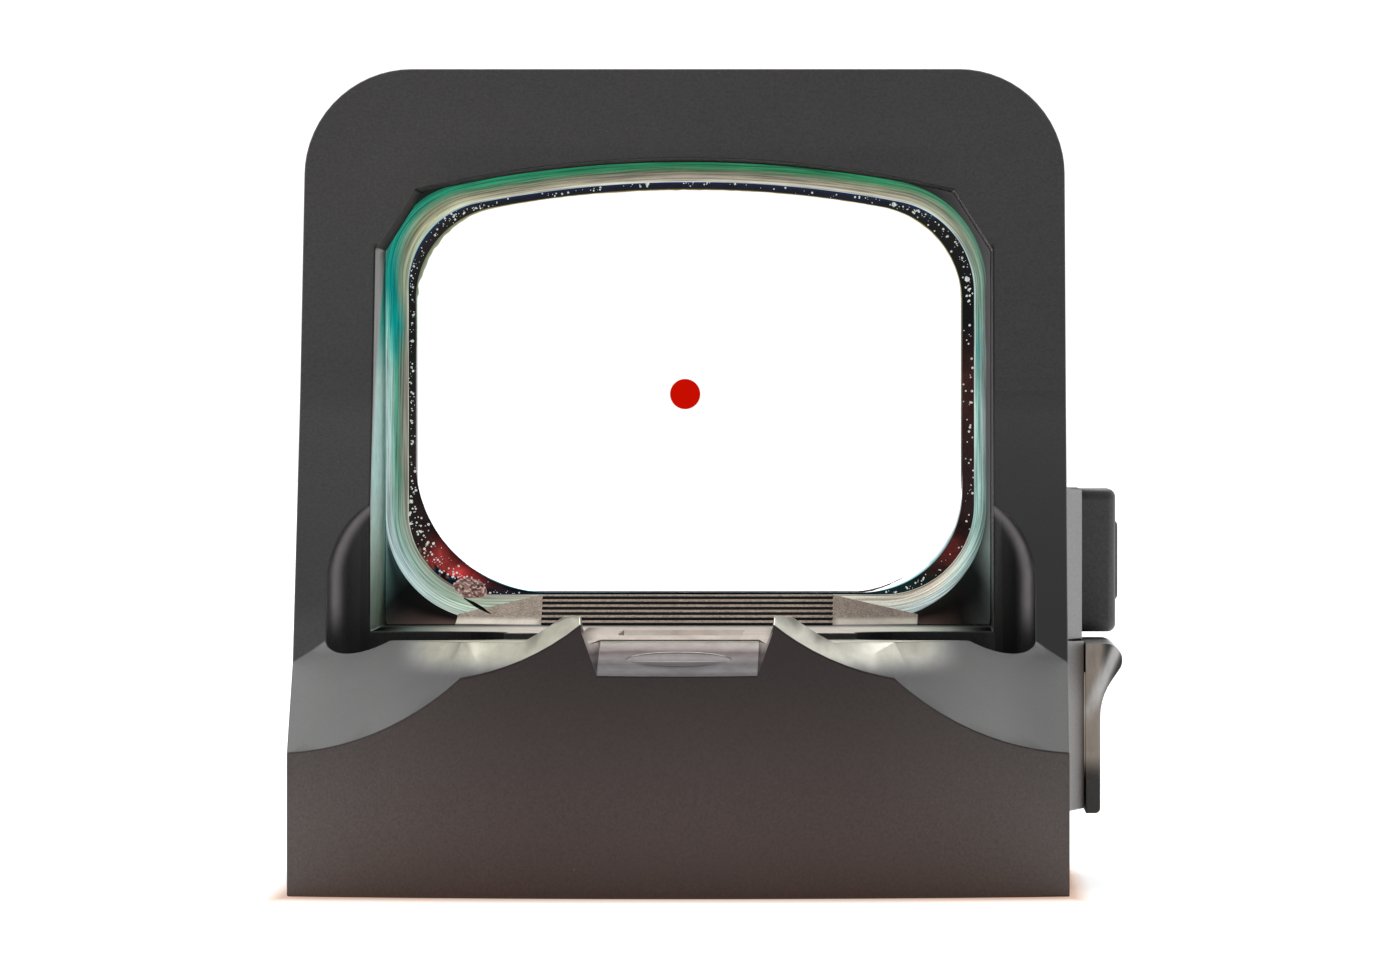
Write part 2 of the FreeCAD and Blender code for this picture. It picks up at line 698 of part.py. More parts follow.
def make_electronics():
    board = box("BoardBlank", -8.3, 8.3, D["slot_rear_y"] + 0.4, D["slot_front_y"] + 0.2, 1.0, 1.5)
    tail = box("BoardTail", -1.4, 1.4, 1.0, D["slot_rear_y"] + 0.6, 1.0, 1.5)
    finger_gap = box("BoardFingerGap", -5.6, -3.6, 12.6, 13.8, 0.9, 1.6)
    node(cut("CircuitBoard", fuse("BoardWithTail", board, tail), finger_gap), "circuit_board")
    node(box("Controller", 2.0, 5.0, 7.0, 10.0, 1.5, 1.9), "controller_chip")
    flat = box("FlexFlat", -1.0, 1.0, -2.0, 3.0, 1.5, 1.6)
    riser = box("FlexRiser", -1.0, 1.0, -2.1, -2.0, 1.5, 4.3)
    node(fuse("EmitterFlex", flat, riser), "emitter_flex")
    foot = box("FingerFoot", -6.2, -5.7, 12.4, 14.0, 1.5, 2.75)
    leaf = box("FingerLeaf", -6.2, -1.8, 12.4, 14.0, 2.62, 2.75)
    tip = cylinder("FingerTip", 0.6, 0.42, -2.6, 13.2, 2.75)
    node(fuse("LowerContact", foot, leaf, tip), "battery_contact_low")
    seat = box("RoofLeaf", -3.0, 3.2, 12.0, 14.4, D["slot_roof_z"] - 0.1, D["slot_roof_z"] + 0.1)
    knob = cylinder("RoofTip", 0.7, 0.28, 0, 13.2, D["slot_roof_z"] - 0.38)
    node(fuse("UpperContact", seat, knob), "battery_contact_high")
    rear = D["slot_rear_y"]
    node(box("DetentLeaf", 5.4, 9.0, rear - 0.5, rear - 0.3, 3.9, 5.5), "drawer_detent")


# --- battery drawer -----------------------------------------------------------------------------------


def make_drawer():
    body = new_body("battery_drawer")
    gap = 0.1
    rear, front = D["slot_rear_y"] + gap, D["slot_front_y"] - gap
    low, rim = D["slot_floor_z"] + gap, D["slot_roof_z"] - 0.45
    face = D["flank_x"] + 0.05
    tray = rectangle(D["slot_end_x"] + 0.2, face + 0.2, rear, front)
    pad(body, outline(body, "XY_Plane", "TrayPlan", tray, low), rim - low)
    neck_top = rectangle(11.2, face + 0.2, rear, front)
    pad(body, outline(body, "XY_Plane", "NeckPlan", neck_top, rim - 0.3), 0.65)
    middle_y = (rear + front) / 2
    cell = circle(body, "XY_Plane", "CellSeat", D["cell_x"], middle_y, D["cell_radius"] + 0.1, low + 0.5)
    pocket(body, cell, 4, reverse=True)
    way = rectangle(D["slot_end_x"] - 0.2, 1.2, 11.9, 14.5)
    pocket(body, outline(body, "XY_Plane", "FingerWay", way, low - 0.2), 1.2, reverse=True)
    for name, y in (("SealGrooveRear", rear), ("SealGrooveFront", front)):
        groove = rectangle(11.6, 12.3, y - 0.3, y + 0.3)
        pocket(body, outline(body, "XY_Plane", name, groove, low - 0.2), 6, reverse=True)
    for name, z in (("SealGrooveLow", low), ("SealGrooveHigh", rim + 0.35)):
        groove = rectangle(11.6, 12.3, z - 0.3, z + 0.3)
        pocket(body, outline(body, "XZ_Plane", name, groove, -(rear - 0.2)), 19)
    notch = rectangle(6.4, 8.0, rear - 0.2, rear + 0.25)
    pocket(body, outline(body, "XY_Plane", "DetentNotch", notch, low + 1.2), 1.6, reverse=True)
    shell = [(face, 2.3), (12.9, 2.3, 0.16), (13.06, 2.46), (13.06, 5.3, -2.0), (13.42, 6.45),
             (13.658, 6.792, 0.514), (13.236, 7.6), (face, 7.6)]
    shell_start = rear - 0.6
    sketch = outline(body, "XZ_Plane", "PullLip", shell, -shell_start)
    pad(body, sketch, front + 0.6 - shell_start, reverse=True)


def make_drawer_seal():
    gap = 0.1
    rear, front = D["slot_rear_y"] + gap, D["slot_front_y"] - gap
    low, high = D["slot_floor_z"] + gap, D["slot_roof_z"] - gap
    blank = box("SealBlank", 11.65, 12.25, rear + 0.02, front - 0.02, low + 0.02, high - 0.02)
    hole = box("SealHole", 11.5, 12.4, rear + 0.3, front - 0.3, low + 0.3, high - 0.3)
    node(cut("DrawerSeal", blank, hole), "drawer_seal")


def make_coin_cell():
    y = (D["slot_rear_y"] + D["slot_front_y"]) / 2
    low = D["slot_floor_z"] + 0.6
    can = cylinder("CellCan", D["cell_radius"], D["cell_thick"] - 0.3, D["cell_x"], y, low + 0.3)
    cap = cylinder("CellCap", D["cell_radius"] - 1.2, 0.3, D["cell_x"], y, low)
    node(fuse("CoinCell", can, cap), "coin_cell")


# --- button ---------------------------------------------------------------------------------------------


def rounded_pad(body, name, half_y, half_z, x0, length, radius):
    y, z = D["switch_y"], D["switch_z"]
    shape = rectangle(y - half_y, y + half_y, z - half_z, z + half_z)
    pad(body, outline(body, "YZ_Plane", name, shape, x0), length)
    fillet(body, lambda edge: runs_along(edge, Vector(1, 0, 0)), radius, name + "Corners")


def make_button():
    y, z = D["switch_y"], D["switch_z"]
    body = new_body("button_bezel")
    rounded_pad(body, "BezelPlan", 3.3, 2.28, D["flank_x"], 1.13, 0.35)
    outside = D["flank_x"].number + 1.12

    def outer_edge(edge):
        return middle_of(edge).x > outside
    fillet(body, outer_edge, 0.25, "BezelCrown")
    window = rectangle(y - 2.4, y + 2.4, z - 1.4, z + 1.4)
    pocket(body, outline(body, "YZ_Plane", "BezelWindow", window, D["flank_x"] - 0.5), 3, reverse=True)
    body = new_body("button_cap")
    rounded_pad(body, "CapPlan", 2.3, 1.3, 12.0, 1.76, 0.3)
    crown = D["flank_x"].number + 1.1

    def crown_edge(edge):
        return middle_of(edge).x > crown
    fillet(body, crown_edge, 0.2, "CapCrown")
    flange = rectangle(y - 2.7, y + 2.7, z - 1.7, z + 1.7)
    pad(body, outline(body, "YZ_Plane", "CapFlange", flange, 12.12), 0.35)
    pad(body, outline(body, "YZ_Plane", "CapStem", rectangle(y - 0.7, y + 0.7, z - 0.7, z + 0.7), 11.72), 0.5)
    rim = box("BootBlank", 11.2, 11.6, y - 2.75, y + 2.75, z - 1.78, z + 1.78)
    hole = box("BootHole", 11.1, 11.7, y - 1.6, y + 1.6, z - 1.1, z + 1.1)
    node(cut("ButtonBoot", rim, hole), "button_boot")
    node(box("SwitchBody", D["switch_x"] + 0.01, 11.15, y - 1.5, y + 1.5, z - 1.0, z + 1.0), "tactile_switch")
    node(cylinder("SwitchDome", 0.8, 0.15, 11.15, y, z, ALONG_X), "switch_dome")
    strip = box("FlexStrip", D["switch_x"] + 0.1, D["switch_x"] + 0.2, 22.7, 23.3, 1.5, z - 1.05)
    foot = box("FlexFoot", 8.2, D["switch_x"] + 0.2, 22.7, 23.3, 1.5, 1.6)
    tab = box("FlexTab", 8.0, 8.3, 21.4, 23.3, 1.5, 1.6)
    node(fuse("SwitchFlex", strip, foot, tab), "switch_flex")


# --- emitter and adjusters --------------------------------------------------------------------------------


def make_emitter():
    travel = D["adjust_travel"]
    clear = D["running_gap"]
    base = box("SledBase", -2.6, 2.6, -9.2, -2.5, 1.2, 3.2)
    cheeks = [box(f"SledCheek{i}", x0, x0 + 0.5, -6.2, -3.3, 3.0, 5.9) for i, x0 in enumerate((-2.6, 2.1))]
    bore = cylinder("SledBore", D["adjuster_shaft"] + clear, 8, -4, D["windage_y"], D["windage_z"], ALONG_X)
    node(cut("WindageSled", fuse("SledBlank", base, *cheeks), bore), "windage_sled")
    block = box("EmitterBlock", -2.0, 2.0, -6.2, -3.3, 3.75, 6.05)
    tongue = box("EmitterTongue", -2.0, 2.0, -9.3, -6.0, 4.3, 5.4)
    slot_half = D["adjuster_shaft"] + clear
    y = D["elevation_y"]
    fork = box("TongueSlot", -travel - 0.8, travel + 0.8, y - slot_half, y + slot_half, 4, 6)
    node(cut("EmitterHolder", fuse("HolderBlank", block, tongue), fork), "emitter_holder")
    node(box("EmitterDie", -0.5, 0.5, -3.3, -2.9, 4.9, 5.7), "led_emitter")
    node(box("EmitterGlass", -1.85, 1.85, -1.95, -1.45, 4.42, 7.6), "emitter_window")
    node(box("LiftSpring", -1.5, 1.5, -5.9, -3.6, 3.22, 3.34), "elevation_spring")
    node(box("SideSpring", -4.15, -3.95, -8.6, -3.0, 1.4, 3.0), "windage_spring")


def slotted_screw(name, label, head_low, head_length, shaft_low, x, y, z, rotation):
    """A slotted adjuster; the head and the shaft are measured along the screw from (x, y, z)."""
    axis = rotation.multVec(Vector(0, 0, 1))

    def at(distance):
        return [as_size(value) + as_size(distance) * round(step) for value, step in zip((x, y, z), axis)]
    head = cylinder(name + "Head", D["adjuster_head"], head_length, *at(head_low), rotation)
    shaft = cylinder(name + "Shaft", D["adjuster_shaft"], as_size(head_low) - shaft_low + 0.1,
                     *at(shaft_low), rotation)
    top = as_size(head_low) + head_length
    slot = doc.addObject("Part::Box", name + "Slot")
    bind(slot, "Length", 4)
    bind(slot, "Width", 0.45)
    bind(slot, "Height", 1)
    corner = rotation.multVec(Vector(-2, -0.225, 0))
    spot = at(top - 0.45)
    place(slot, spot[0] + corner.x, spot[1] + corner.y, spot[2] + corner.z, rotation)
    node(cut(name, fuse(name + "Blank", head, shaft), slot), label)


def make_adjusters():
    upright = Rotation()
    ring = D["adjuster_shaft"] + 0.25
    slotted_screw("ElevationScrew", "elevation_screw", 6.6, 0.6, 3.9, 0, D["elevation_y"], 0, upright)
    node(torus("ElevationRing", ring, 0.24, 0, D["elevation_y"], 6.27), "elevation_oring")
    slotted_screw("WindageScrew", "windage_screw", 10.6, 1.3, -1.0, 0, D["windage_y"], D["windage_z"], ALONG_X)
    node(torus("WindageRing", ring, 0.24, 10.2, D["windage_y"], D["windage_z"], ALONG_X), "windage_oring")


# --- build --------------------------------------------------------------------------------------------------

make_housing()
make_lens()
make_lens_bond()
make_base_plate()
make_base_gasket()
make_plate_screws()
make_electronics()
make_drawer()
make_drawer_seal()
make_coin_cell()
make_button()
make_emitter()
make_adjusters()
doc.recompute()

for thing in doc.Objects:
    if "Invalid" in thing.State or "Error" in thing.State:
        raise ValueError(f"{thing.Name} failed: {thing.State}")

os.makedirs("parts", exist_ok=True)
for thing in nodes:
    if thing.Shape.isNull() or not thing.Shape.isValid():
        raise ValueError(f"{thing.Label} has a bad shape")
    thing.Shape.exportStep(f"parts/{thing.Label}.step")
    print(f"{thing.Label}: {len(thing.Shape.Solids)} solid, {thing.Shape.Volume:.3f} mm3")
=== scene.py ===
import math
import random
from functools import partial

import bpy
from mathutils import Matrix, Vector, noise


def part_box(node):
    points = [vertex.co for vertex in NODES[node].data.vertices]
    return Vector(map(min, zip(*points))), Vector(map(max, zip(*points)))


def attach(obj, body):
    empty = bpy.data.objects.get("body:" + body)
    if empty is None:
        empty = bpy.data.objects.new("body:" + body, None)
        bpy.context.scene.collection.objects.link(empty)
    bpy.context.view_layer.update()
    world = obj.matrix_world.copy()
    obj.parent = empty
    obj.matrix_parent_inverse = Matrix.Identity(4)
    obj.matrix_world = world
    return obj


# Compact open reflex red dot finder, seen from the observer's side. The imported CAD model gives
# every place; lengths below are in millimetres and become metres through MM.

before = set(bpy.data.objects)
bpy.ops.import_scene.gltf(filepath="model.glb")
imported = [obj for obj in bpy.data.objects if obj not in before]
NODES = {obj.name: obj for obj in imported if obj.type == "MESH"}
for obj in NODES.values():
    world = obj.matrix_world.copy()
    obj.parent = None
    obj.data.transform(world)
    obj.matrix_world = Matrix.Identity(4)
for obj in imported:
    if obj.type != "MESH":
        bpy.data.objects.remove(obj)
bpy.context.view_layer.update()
MM = 0.001

random.seed(7)


# --- helpers ---


tree = None  # the node tree that the helpers below add nodes to


def begin_tree(owner):
    """Starts on the node tree of a material or world."""
    global tree
    owner.use_nodes = True
    tree = owner.node_tree


def new_object(name, data):
    thing = bpy.data.objects.new(name, data)
    bpy.context.scene.collection.objects.link(thing)
    return thing


def new_material(name):
    material = bpy.data.materials.new(name)
    begin_tree(material)
    return material, tree.nodes["Principled BSDF"]


def add(kind, **settings):
    """Adds a shader node; settings name its properties, or its inputs when they start with in_."""
    made = tree.nodes.new("ShaderNode" + kind)
    for key, value in settings.items():
        if key.startswith("in_"):
            made.inputs[key[3:].replace("_", " ")].default_value = value
        else:
            setattr(made, key, value)
    return made


def link(source, target):
    tree.links.new(source, target)


def rgba(colour):
    if isinstance(colour, (int, float)):
        colour = (colour, colour, colour)
    return (*colour[:3], 1.0)


def linear(red, green, blue):
    """Screen colour 0 to 255 to linear light."""
    values = []
    for value in (red, green, blue):
        share = value / 255
        values.append(share / 12.92 if share <= 0.04045 else ((share + 0.055) / 1.055) ** 2.4)
    return values


def feed(socket, value):
    """Gives a socket a link or a plain value."""
    if isinstance(value, bpy.types.NodeSocket):
        link(value, socket)
    elif socket.type == "VALUE":
        socket.default_value = value
    else:
        socket.default_value = rgba(value)


def coat(shader, **values):
    """Feeds the inputs of a shader; their names have _ for each space."""
    for key, value in values.items():
        feed(shader.inputs[key.replace("_", " ")], value)


def place_coordinate():
    return add("TexCoord").outputs["Object"]


def noise_value(size, detail=4.0, roughness=0.6, stretch=(1, 1, 1), coordinate=None):
    """Noise with features about size millimetres across, squeezed along each axis by stretch."""
    mapping = add("Mapping")
    mapping.inputs["Scale"].default_value = stretch
    link(coordinate or place_coordinate(), mapping.inputs["Vector"])
    texture = add("TexNoise", in_Scale=1 / (size * MM), in_Detail=detail,
                  in_Roughness=roughness)
    link(mapping.outputs["Vector"], texture.inputs["Vector"])
    return texture.outputs["Fac"]


def ramp(factor, stops):
    """Colour ramp; stops are (position, colour)."""
    made = add("ValToRGB")
    elements = made.color_ramp.elements
    elements[0].position, elements[1].position = stops[0][0], stops[-1][0]
    elements[0].color, elements[1].color = rgba(stops[0][1]), rgba(stops[-1][1])
    for position, colour in stops[1:-1]:
        elements.new(position).color = rgba(colour)
    link(factor, made.inputs["Fac"])
    return made.outputs["Color"]


def screen_ramp(factor, stops):
    """Colour ramp whose stops are (position, red, green, blue) in screen colours."""
    return ramp(factor, [(position, linear(*colour)) for position, *colour in stops])


def spread(value, low, high):
    """The tone of a noise: low in its dips, high on its peaks."""
    return ramp(value, [(0.3, low), (0.7, high)])


def remap(value, start, end, low=0.0, high=1.0, kind="LINEAR"):
    """Goes from low to high as value goes from start to end."""
    made = add("MapRange", interpolation_type=kind)
    link(value, made.inputs["Value"])
    for key, number in (("From Min", start), ("From Max", end), ("To Min", low), ("To Max", high)):
        made.inputs[key].default_value = number
    return made.outputs["Result"]


def fade(value, start, end):
    """0 to 1, with soft ends, as value goes from start to end."""
    return remap(value, start, end, kind="SMOOTHSTEP")


def bump(height, strength, distance):
    made = add("Bump", in_Strength=strength, in_Distance=distance * MM)
    link(height, made.inputs["Height"])
    return made.outputs["Normal"]


def mix(factor, first, second, blend="MIX"):
    """Mixes two colours; each of the three may be a socket or a plain value."""
    made = add("Mix", data_type="RGBA", blend_type=blend)
    feed(made.inputs["Factor"], factor)
    feed(made.inputs[6], first)
    feed(made.inputs[7], second)
    return made.outputs[2]


def maths(operation, first, second=0.0):
    made = add("Math", operation=operation)
    feed(made.inputs[0], first)
    feed(made.inputs[1], second)
    return made.outputs[0]


def times(first, second):
    return maths("MULTIPLY", first, second)


def minus(first, second):
    return maths("SUBTRACT", first, second)


def mix_shaders(factor, first, second, output):
    """Blends two shader nodes into the surface of an output node."""
    blend = add("MixShader")
    link(factor, blend.inputs["Fac"])
    link(first.outputs[0], blend.inputs[1])
    link(second.outputs[0], blend.inputs[2])
    link(blend.outputs[0], tree.nodes[output].inputs["Surface"])


# --- materials ---


def blasted_anodised(name, dark, light, warm=(1.0, 1.0, 1.0), gloss=0.4):
    """Hard anodised aluminium that was bead blasted first: fine grain and a few pale specks."""
    material, shader = new_material(name)
    fine = noise_value(0.09, detail=6, roughness=0.7)
    broad = noise_value(5.0, detail=3)
    tone = ramp(fine, [(0.3, [dark * w for w in warm]), (0.72, [light * w for w in warm])])
    tone = mix(0.35, tone, spread(broad, 0.8, 1.16), "MULTIPLY")
    specks = noise_value(0.16, detail=2)
    tone = mix(ramp(specks, [(0.74, 0.0), (0.8, 0.35)]), tone, light * 3)
    coat(shader, Base_Color=tone, Roughness=spread(fine, gloss - 0.06, gloss + 0.1),
         Normal=bump(fine, 0.3, 0.01))
    return material, shader, tone


def axes(source, scale):
    """The three components of a vector, scaled."""
    split = add("SeparateXYZ")
    link(source, split.inputs[0])
    return [times(split.outputs[i], scale) for i in range(3)]


class Places:
    """Where a point of a material lies, in millimetres, and which way its surface faces."""

    def __init__(self):
        geometry = add("NewGeometry")
        self.x, self.y, self.z = axes(place_coordinate(), 1 / MM)
        self.nx, self.ny, self.nz = axes(geometry.outputs["True Normal"], 1)
        self.side = maths("ABSOLUTE", self.x)


def zone(*limits):
    """1 inside a region and 0 outside. A limit is (value, start, end), a soft edge, or a mask."""
    masks = [fade(*limit) if isinstance(limit, tuple) else limit for limit in limits]
    result = masks[0]
    for mask in masks[1:]:
        result = times(result, mask)
    return result


def shade(mask, tone, factor):
    """Paints light or shade: multiplies a tone by a factor inside a mask."""
    return mix(mask, tone, mix(1.0, tone, factor, "MULTIPLY"))


def largest(*values):
    result = values[0]
    for value in values[1:]:
        result = maths("MAXIMUM", result, value)
    return result


def skim_factor(start, end):
    """0 seen square on, 1 where the surface is seen along its length."""
    return fade(add("LayerWeight", in_Blend=0.5).outputs["Facing"], start, end)


NOTCH_FLOOR, NOTCH_TOP, NOTCH_HALF = 6.7, 8.25, 3.15
SCREW_Y = -8.2


def notch_reflection_bands(z):
    """Painted reflection: light and dark bands that lie across the sighting notch, by height."""
    wander = times(noise_value(1.6, detail=3, stretch=(0.35, 1, 3)), 0.16)
    level = remap(maths("ADD", z, wander), NOTCH_FLOOR, NOTCH_TOP)
    return screen_ramp(level, [
        (0.0, 58, 54, 55), (0.1, 108, 106, 108), (0.22, 142, 139, 140), (0.33, 126, 122, 124),
        (0.43, 158, 152, 152), (0.53, 138, 126, 127), (0.66, 200, 192, 188), (0.8, 226, 216, 206),
        (0.93, 220, 208, 198), (1.0, 160, 134, 122)])


HALF_WIDTH = 12.0
HOOD_FOOT_Y, HOOD_FOOT_Z, HOOD_LEAN = -2.55, 7.0, 0.982
POCKET_X, POCKET_RADIUS = 8.2, 2.8
TUNNEL_HALF, TUNNEL_FLOOR, TUNNEL_CROWN = 9.7, 8.02, 22.86
RAMP_REAR, RAMP_FRONT, RIB_HALF = 17.4, 21.24, 4.65


def outside_painted_light(here, tone):
    """Painted light and shade on the rear wall, the scoops, the right flank and the sloping face of the hood.
    """
    # Rear wall: painted light towards its ends and its foot, painted shade towards its top.
    low = fade(here.side, 4.0, HALF_WIDTH)
    low = ramp(low, [(0.0, (1.14, 0.76, 0.7)), (1.0, (1.5, 1.2, 1.1))])
    high = fade(here.side, 3.0, 9.0)
    high = ramp(high, [(0.0, (0.3, 0.17, 0.15)), (1.0, (0.46, 0.34, 0.3))])
    rear_wall = zone((here.ny, -0.6, -0.85), (here.y, -7.8, -8.4))
    tone = shade(rear_wall, tone, mix(fade(here.z, 1.5, 8.0), low, high))

    # Scoops: painted shade on their inner side, painted light further out, and painted shade again at the far
    # right.
    scoop = fade(here.side, 6.0, 9.6)
    scoop = ramp(scoop, [(0.0, (0.24, 0.23, 0.235)), (1.0, (1.85, 1.8, 1.77))])
    scoop = mix(fade(here.x, 9.8, 11.6), scoop, (0.4, 0.39, 0.37))
    tone = shade(zone((here.nz, 0.5, 0.8), (here.y, -0.5, -1.5)), tone, scoop)

    # Right flank: painted shade, deepest towards its top.
    flank = zone((here.nx, 0.05, 0.09), (here.x, HALF_WIDTH - 0.02, HALF_WIDTH))
    flank_shade = mix(fade(here.z, 5.5, 8.5), (0.8, 0.62, 0.54), (0.2, 0.13, 0.11))
    tone = shade(flank, tone, flank_shade)

    # Hood face: painted shade on the legs, deepest on the right leg, painted light on the brow and painted
    # shade just above the tunnel's mouth.
    face = zone((here.ny, -0.5, -0.65), (here.ny, -0.85, -0.75))
    leg = zone(face, (here.z, 19.0, 8.0))
    brow = zone(face, (here.z, 17.0, 22.0))
    over_mouth = zone(brow, (here.z, TUNNEL_CROWN + 0.64, TUNNEL_CROWN - 0.06),
                      (here.side, 9.0, 7.0))
    tone = shade(leg, tone, 0.62)
    tone = shade(brow, tone, (1.5, 1.18, 1.18))
    tone = shade(over_mouth, tone, 0.35)
    tone = shade(zone(leg, (here.x, 8.0, 9.0)), tone, 0.15)

    # Painted shade that deepens from left to right.
    across = remap(here.x, -HALF_WIDTH, HALF_WIDTH, 1.06, 0.86)
    return mix(1.0, tone, across, "MULTIPLY")


def pocket_mask(here):
    """The inner walls of the two screw-head pockets."""
    return zone((here.side, 9.0, 10.0), (here.side, 11.4, 11.2), (here.z, 11.9, 11.6),
                (here.y, -4.2, -3.6), (here.y, 2.6, 2.4), (here.z, 3.2, 3.6), (here.nz, 0.6, 0.4),
                (here.ny, -0.72, -0.8))


def pocket_rim_highlight(here):
    """A painted highlight: a soft band just inside each screw-head pocket's outer rim, where it meets the
    hood's slope.
    """
    slope = times(minus(here.z, HOOD_FOOT_Z), HOOD_LEAN)
    rim_y = largest(maths("ADD", slope, HOOD_FOOT_Y), 0.0)
    reach = minus(POCKET_RADIUS ** 2, times(rim_y, rim_y))
    reach = maths("SQRT", largest(reach, 0.0))
    inside = minus(maths("ADD", POCKET_X, reach), here.side)
    turned = maths("ABSOLUTE", here.nx)
    band = zone((inside, -0.05, 0.2), (inside, 0.66, 0.22), (here.z, 7.2, 9.0),
                (turned, 0.25, 0.5), (here.side, 11.4, 11.2), (here.z, 13.5, 12.5), (here.y, 3.0, 2.8),
                (here.side, TUNNEL_HALF, TUNNEL_HALF + 0.04))
    return times(band, 0.85)


def ramp_sand_glow(here):
    """Mask and sandy tone of the anti-glare ramp, which the housing gives off as a painted glow."""
    grain = noise_value(0.07, detail=4, roughness=0.7)
    sand = screen_ramp(grain, [(0.32, 84, 74, 66), (0.5, 152, 138, 126), (0.66, 186, 172, 160)])
    dots = ramp(noise_value(0.11, detail=1), [(0.68, 0.0), (0.76, 0.85)])
    sand = mix(dots, sand, linear(44, 36, 34))
    # A painted highlight along the ramp's foot beside the ribs, and painted shade towards the right.
    foot = zone((here.z, 8.3, 8.14), (here.side, RIB_HALF - 0.05, RIB_HALF + 0.25))
    sand = mix(foot, sand, linear(212, 204, 190))
    sand = shade(fade(here.x, 3.0, 6.0), sand, 0.64)
    mask = zone((here.nz, 0.75, 0.9), (here.y, RAMP_REAR - 0.1, RAMP_REAR + 0.1),
                (here.y, RAMP_FRONT + 0.02, RAMP_FRONT - 0.02), (here.side, 7.5, 7.4),
                (here.z, TUNNEL_FLOOR, TUNNEL_FLOOR + 0.04), (here.z, 10.2, 9.8))
    return mask, sand


def deck_gloss(here, skim):
    """Masks and painted reflection tints of the gloss on the decks and on the upper edge of the scoops."""
    beige = screen_ramp(fade(here.side, TUNNEL_HALF, 4.6), [
        (0.0, 40, 36, 35), (0.16, 178, 186, 176), (0.5, 220, 222, 208), (1.0, 228, 220, 210)])
    deck = zone((here.nz, 0.9, 0.97), skim, (here.y, 21.0, 12.0))
    scoop = zone((here.z, 6.7, 7.5), (here.nz, 0.45, 0.7), (here.y, -1.9, -2.2), (here.side, 8.9, 7.3),
                 skim_factor(0.3, 0.5))
    cream = mix(fade(here.x, -3.0, 3.0), linear(196, 194, 178), linear(206, 204, 192))
    return [(deck, beige), (scoop, cream)]


def notch_zones(here, skim):
    """The gloss of the sighting notch, the painted glow on the wall of the screw's counterbore, and their
    painted reflection bands.
    """
    bands = notch_reflection_bands(here.z)
    # Painted shade towards the sides of the notch.
    bands = mix(fade(here.side, 2.5, NOTCH_HALF), bands, mix(1.0, bands, 0.3, "MULTIPLY"))
    notch = zone((here.side, NOTCH_HALF, NOTCH_HALF - 0.15), (here.z, NOTCH_FLOOR - 0.15, NOTCH_FLOOR - 0.1),
                 (here.z, NOTCH_TOP + 0.05, NOTCH_TOP - 0.05), (here.y, 14.0, 12.0),
                 (here.ny, -0.97, -0.9), skim)
    round_screw = zone((here.side, 1.75, 1.6), (here.y, SCREW_Y + 2.2, SCREW_Y + 1.8),
                       (here.y, SCREW_Y - 2.0, SCREW_Y - 1.6))
    seat = zone(round_screw, (here.z, 6.0, 6.3), skim)
    upright = maths("ABSOLUTE", here.nz)
    # Painted light: the counterbore's wall glows with the bands.
    counterbore = zone(round_screw, (here.z, 5.7, 5.8), (upright, 0.4, 0.2))
    return largest(notch, seat), counterbore, bands


def wall_gloss(here, skim):
    """Masks and painted reflection tints of the gloss on the tunnel's side walls: teal beside the lens on the
    left.
    """
    teal = screen_ramp(fade(here.z, 8.0, 21.5), [
        (0.0, 146, 166, 154), (0.12, 164, 190, 180), (0.3, 170, 202, 198), (0.62, 180, 212, 206),
        (0.8, 84, 176, 164), (0.93, 30, 140, 128), (1.0, 62, 66, 66)])
    higher = largest(minus(here.z, 10.0), 0.0)
    rise = times(times(higher, higher), 0.2)
    forward = minus(here.y, maths("ADD", rise, 1.0))
    left = zone((here.nx, 0.4, 0.6), (here.x, -8.2, -8.5), (forward, -1.0, 3.0), skim,
                (here.y, 21.4, 21.3))
    grey = screen_ramp(fade(here.z, 8.0, 12.0), [
        (0.0, 90, 96, 92), (0.35, 104, 114, 110), (1.0, 98, 95, 97)])
    right = zone((here.nx, -0.4, -0.6), (here.x, 8.2, 8.5), (here.y, -2.0, 1.0), skim)
    return [(left, teal), (right, grey)]


